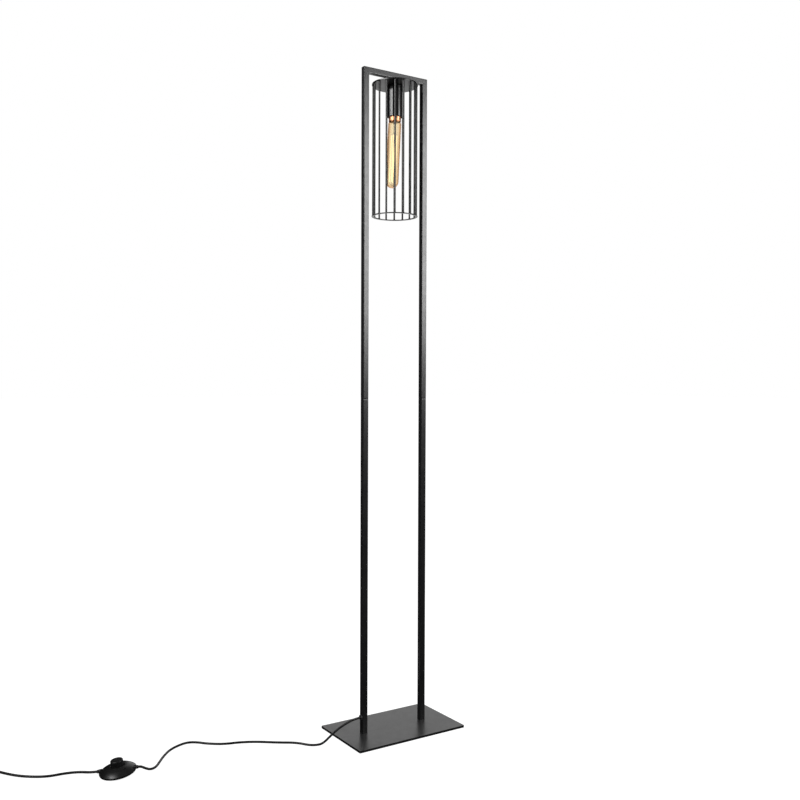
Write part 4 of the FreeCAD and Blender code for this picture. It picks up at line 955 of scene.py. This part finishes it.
# %% Node group: smears
smears, given, result = group("smears", {"Place": None, "Scale": 30.0}, ["Smear"])
bent = node(smears, "TexNoise", {"Vector": given["Place"], "Scale": given["Scale"], "Detail": 5.0,
                                 "Roughness": 0.62, "Distortion": 1.4})[0]
spread = node(smears, "MapRange", {"Value": bent, "From Min": 0.35, "From Max": 0.7})[0]
smears.links.new(spread, result["Smear"])
print("node groups:", [tree.name for tree in bpy.data.node_groups])

# %% [markdown]
# ## Opaque finishes
# One table holds every coated, moulded and metal finish by its own numbers, and one recipe turns
# a row of it into a material. The grain feeds a bump, on top of edges that the Bevel node rounds
# by less than a millimetre. Wear and dust tint the colour, and smears shift the roughness.

# %% Recipe for an opaque finish
def placed(tree, group_tree, values):
    """A node group in a material, with its inputs set, and its outputs."""
    made = tree.nodes.new("ShaderNodeGroup")
    made.node_tree = group_tree
    for label, value in values.items():
        if isinstance(value, bpy.types.NodeSocket):
            tree.links.new(value, made.inputs[label])
        else:
            made.inputs[label].default_value = value
    return made.outputs


def opaque(name, colour, shade, rough, rough_span, grain, depth, edge=0.0004, worn=None, wear=0.0,
           dust=0.0, metallic=0.0, coat=0.0, specular=0.5):
    """Colour runs from colour to shade with the mottle, then to worn by the wear mask, then to
    pale dust. Roughness is rough + rough_span * smear. Normal is a bump of the given depth."""
    material = bpy.data.materials.new(name)
    material.use_nodes = True
    tree = material.node_tree
    tree.nodes.clear()
    place = node(tree, "TexCoord")["Object"]
    grainy = placed(tree, fine_grain, {"Place": place, "Size": grain})
    tint = blend_colours(tree, grainy["Mottle"], (*colour, 1), (*shade, 1))
    rub = calc(tree, "MULTIPLY", placed(tree, worn_edges, {"Place": place, "Reach": 0.0011})["Wear"], wear)
    tint = blend_colours(tree, rub, tint, (*(worn or shade), 1))
    dusty = calc(tree, "MULTIPLY", placed(tree, settled_dust, {"Place": place})["Dust"], dust)
    tint = blend_colours(tree, dusty, tint, (0.42, 0.41, 0.39, 1))
    smear = placed(tree, smears, {"Place": place})["Smear"]
    roughness = calc(tree, "MULTIPLY_ADD", smear, rough_span, rough)
    roughness = calc(tree, "MULTIPLY_ADD", dusty, 0.5, roughness)
    soft_edge = node(tree, "Bevel", {"Radius": edge}, samples=6)[0]
    bump = node(tree, "Bump", {"Strength": 1.0, "Distance": depth, "Height": grainy["Height"],
                               "Normal": soft_edge})[0]
    shader = node(tree, "BsdfPrincipled", {
        "Base Color": tint, "Roughness": roughness, "Normal": bump, "Metallic": metallic,
        "Coat Weight": coat, "Coat Roughness": 0.08, "Specular IOR Level": specular})[0]
    node(tree, "OutputMaterial", {"Surface": shader})
    return material


# %% The table of opaque finishes
COATED = {
    "frame_coat": dict(colour=(0.006, 0.006, 0.0063), shade=(0.0085, 0.0085, 0.009), rough=0.29,
                       rough_span=0.06, grain=0.0009, depth=0.00001, worn=(0.035, 0.035, 0.037), wear=0.2,
                       dust=0.1, specular=0.45),
    "cage_coat": dict(colour=(0.006, 0.006, 0.0062), shade=(0.0085, 0.0083, 0.0083), rough=0.28,
                      rough_span=0.07, grain=0.0007, depth=0.000008, worn=(0.04, 0.039, 0.038), wear=0.2,
                      dust=0.12, specular=0.35),
    "cup_gloss": dict(colour=(0.004, 0.004, 0.0045), shade=(0.006, 0.006, 0.0065), rough=0.13,
                      rough_span=0.06, grain=0.0011, depth=0.000003, worn=(0.03, 0.03, 0.03), wear=0.25,
                      dust=0.06),
    "pad_rubber": dict(colour=(0.016, 0.016, 0.017), shade=(0.024, 0.023, 0.022), rough=0.72,
                       rough_span=0.12, grain=0.0006, depth=0.00003, dust=0.2),
    "cord_sheath": dict(colour=(0.004, 0.004, 0.0042), shade=(0.006, 0.006, 0.0064), rough=0.36,
                        rough_span=0.14, grain=0.0008, depth=0.000012, edge=0.0002, dust=0.07, specular=0.4),
    "core_insulation": dict(colour=(0.23, 0.03, 0.015), shade=(0.28, 0.045, 0.02), rough=0.4,
                            rough_span=0.1, grain=0.0005, depth=0.000006, edge=0.0002),
    "bush_plastic": dict(colour=(0.012, 0.012, 0.0125), shade=(0.016, 0.016, 0.0165), rough=0.4,
                         rough_span=0.1, grain=0.0003, depth=0.000008, edge=0.0002),
    "switch_plastic": dict(colour=(0.004, 0.004, 0.0042), shade=(0.006, 0.006, 0.0063), rough=0.26,
                           rough_span=0.12, grain=0.0004, depth=0.000008, worn=(0.04, 0.04, 0.042),
                           wear=0.2, dust=0.05, specular=0.35),
    "button_plastic": dict(colour=(0.006, 0.006, 0.0065), shade=(0.009, 0.009, 0.0095), rough=0.24,
                           rough_span=0.16, grain=0.0005, depth=0.000006, worn=(0.04, 0.04, 0.042),
                           wear=0.2, dust=0.05, specular=0.35),
    "mechanism_resin": dict(colour=(0.6, 0.57, 0.5), shade=(0.54, 0.51, 0.45), rough=0.45, rough_span=0.12,
                            grain=0.0005, depth=0.000008),
    "holder_resin": dict(colour=(0.03, 0.029, 0.028), shade=(0.042, 0.04, 0.038), rough=0.42,
                         rough_span=0.14, grain=0.0005, depth=0.00001, dust=0.1),
    "cap_insulator": dict(colour=(0.02, 0.019, 0.022), shade=(0.032, 0.03, 0.034), rough=0.2,
                          rough_span=0.12, grain=0.0008, depth=0.00001, edge=0.0003),
    "tie_band": dict(colour=(0.013, 0.013, 0.0135), shade=(0.02, 0.02, 0.0205), rough=0.5, rough_span=0.12,
                     grain=0.0004, depth=0.00001, edge=0.0003, dust=0.1),
    "plug_plastic": dict(colour=(0.009, 0.009, 0.0095), shade=(0.013, 0.013, 0.0135), rough=0.38,
                         rough_span=0.14, grain=0.0004, depth=0.00001, edge=0.0002,
                         worn=(0.035, 0.035, 0.036), wear=0.3, dust=0.15),
    "zinc_steel": dict(colour=(0.56, 0.56, 0.55), shade=(0.48, 0.485, 0.49), rough=0.34, rough_span=0.18,
                       grain=0.0006, depth=0.000006, metallic=1.0, worn=(0.66, 0.66, 0.65), wear=0.4),
    "spring_steel": dict(colour=(0.5, 0.49, 0.47), shade=(0.42, 0.41, 0.4), rough=0.26, rough_span=0.14,
                         grain=0.0003, depth=0.000003, edge=0.0001, metallic=1.0),
    "contact_brass": dict(colour=(0.78, 0.57, 0.25), shade=(0.66, 0.47, 0.2), rough=0.28, rough_span=0.2,
                          grain=0.0007, depth=0.000006, metallic=1.0, worn=(0.85, 0.66, 0.34), wear=0.4),
    "contact_tin": dict(colour=(0.66, 0.65, 0.62), shade=(0.55, 0.54, 0.52), rough=0.3, rough_span=0.2,
                        grain=0.001, depth=0.00003, metallic=1.0),
    "cap_copper": dict(colour=(0.78, 0.38, 0.2), shade=(0.62, 0.28, 0.14), rough=0.38, rough_span=0.16,
                       grain=0.0009, depth=0.000004, edge=0.0001, metallic=1.0, worn=(0.92, 0.6, 0.36),
                       wear=0.3),
    "support_wire": dict(colour=(0.5, 0.47, 0.42), shade=(0.42, 0.39, 0.35), rough=0.25, rough_span=0.15,
                         grain=0.0003, depth=0.000002, edge=0.0001, metallic=1.0),
    "pin_nickel": dict(colour=(0.66, 0.63, 0.58), shade=(0.58, 0.555, 0.51), rough=0.16, rough_span=0.14,
                       grain=0.0006, depth=0.000003, edge=0.0002, metallic=1.0, worn=(0.75, 0.68, 0.5),
                       wear=0.5),
}
finishes = {slot: opaque(slot, **values) for slot, values in COATED.items()}
print(len(finishes), "opaque finishes")

# %% [markdown]
# ## Glass and light
# Tinted glass gets deeper in colour towards its outline, where the line of sight runs along the
# wall. Layer Weight gives that share: 0 where the surface faces the eye, 1 at the rim. Tiny
# ripples from drawing the tube bend what is seen through it. The light strips have a coating that
# glows warm, in a colour that varies a little along it.

# %% Amber glass and clear glass
def glass(name, facing, rim, rough, ripple, depth):
    """Clear or tinted glass. Its colour goes from facing to rim with the slant of the view."""
    material = bpy.data.materials.new(name)
    material.use_nodes = True
    tree = material.node_tree
    tree.nodes.clear()
    place = node(tree, "TexCoord")["Object"]
    slant = node(tree, "LayerWeight", {"Blend": 0.6})["Facing"]
    tint = blend_colours(tree, slant, (*facing, 1), (*rim, 1))
    film = patches(tree, place, 45.0, 0.3, 0.8)
    stretched = node(tree, "Mapping", {"Vector": place, "Scale": (1.0, 1.0, 0.12)})[0]
    drawn = node(tree, "TexNoise", {"Vector": stretched, "Scale": 1 / ripple, "Detail": 1.0})[0]
    bump = node(tree, "Bump", {"Strength": 1.0, "Distance": depth, "Height": drawn})[0]
    shader = node(tree, "BsdfPrincipled", {
        "Base Color": tint, "Roughness": calc(tree, "MULTIPLY_ADD", film, 0.03, rough), "Normal": bump,
        "IOR": 1.5, "Transmission Weight": 1.0})[0]
    node(tree, "OutputMaterial", {"Surface": shader})
    return material


finishes["amber_glass"] = glass("amber_glass", (1.0, 0.93, 0.74), (0.62, 0.25, 0.05), 0.01, 0.03, 0.000002)
finishes["stem_glass"] = glass("stem_glass", (0.97, 0.97, 0.95), (0.9, 0.92, 0.9), 0.02, 0.003, 0.00002)

# %% Glowing strips
STRIP_GLOW = 1.15

strip = bpy.data.materials.new("filament_coat")
strip.use_nodes = True
tree = strip.node_tree
tree.nodes.clear()
place = node(tree, "TexCoord")["Object"]
grainy = placed(tree, fine_grain, {"Place": place, "Size": 0.0012})
colour = blend_colours(tree, grainy["Mottle"], (1.0, 0.88, 0.6, 1), (1.0, 0.92, 0.7, 1))
bump = node(tree, "Bump", {"Strength": 1.0, "Distance": 0.00003, "Height": grainy["Height"]})[0]
shader = node(tree, "BsdfPrincipled", {
    "Base Color": (0.85, 0.62, 0.2, 1), "Roughness": calc(tree, "MULTIPLY_ADD", grainy["Mottle"], 0.1, 0.5),
    "Emission Color": colour, "Emission Strength": STRIP_GLOW, "Normal": bump})[0]
node(tree, "OutputMaterial", {"Surface": shader})
finishes["filament_coat"] = strip

# %% Every piece gets its finish
for part in frame["record"]["subparts"]:
    solid = frame["nodes"][part["node"]]
    for place_in_list in solid.material_slots:
        place_in_list.material = finishes[part["material_slot"]]
for piece in scene.objects:
    if "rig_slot" in piece:
        piece.data.materials.append(finishes[piece["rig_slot"]])
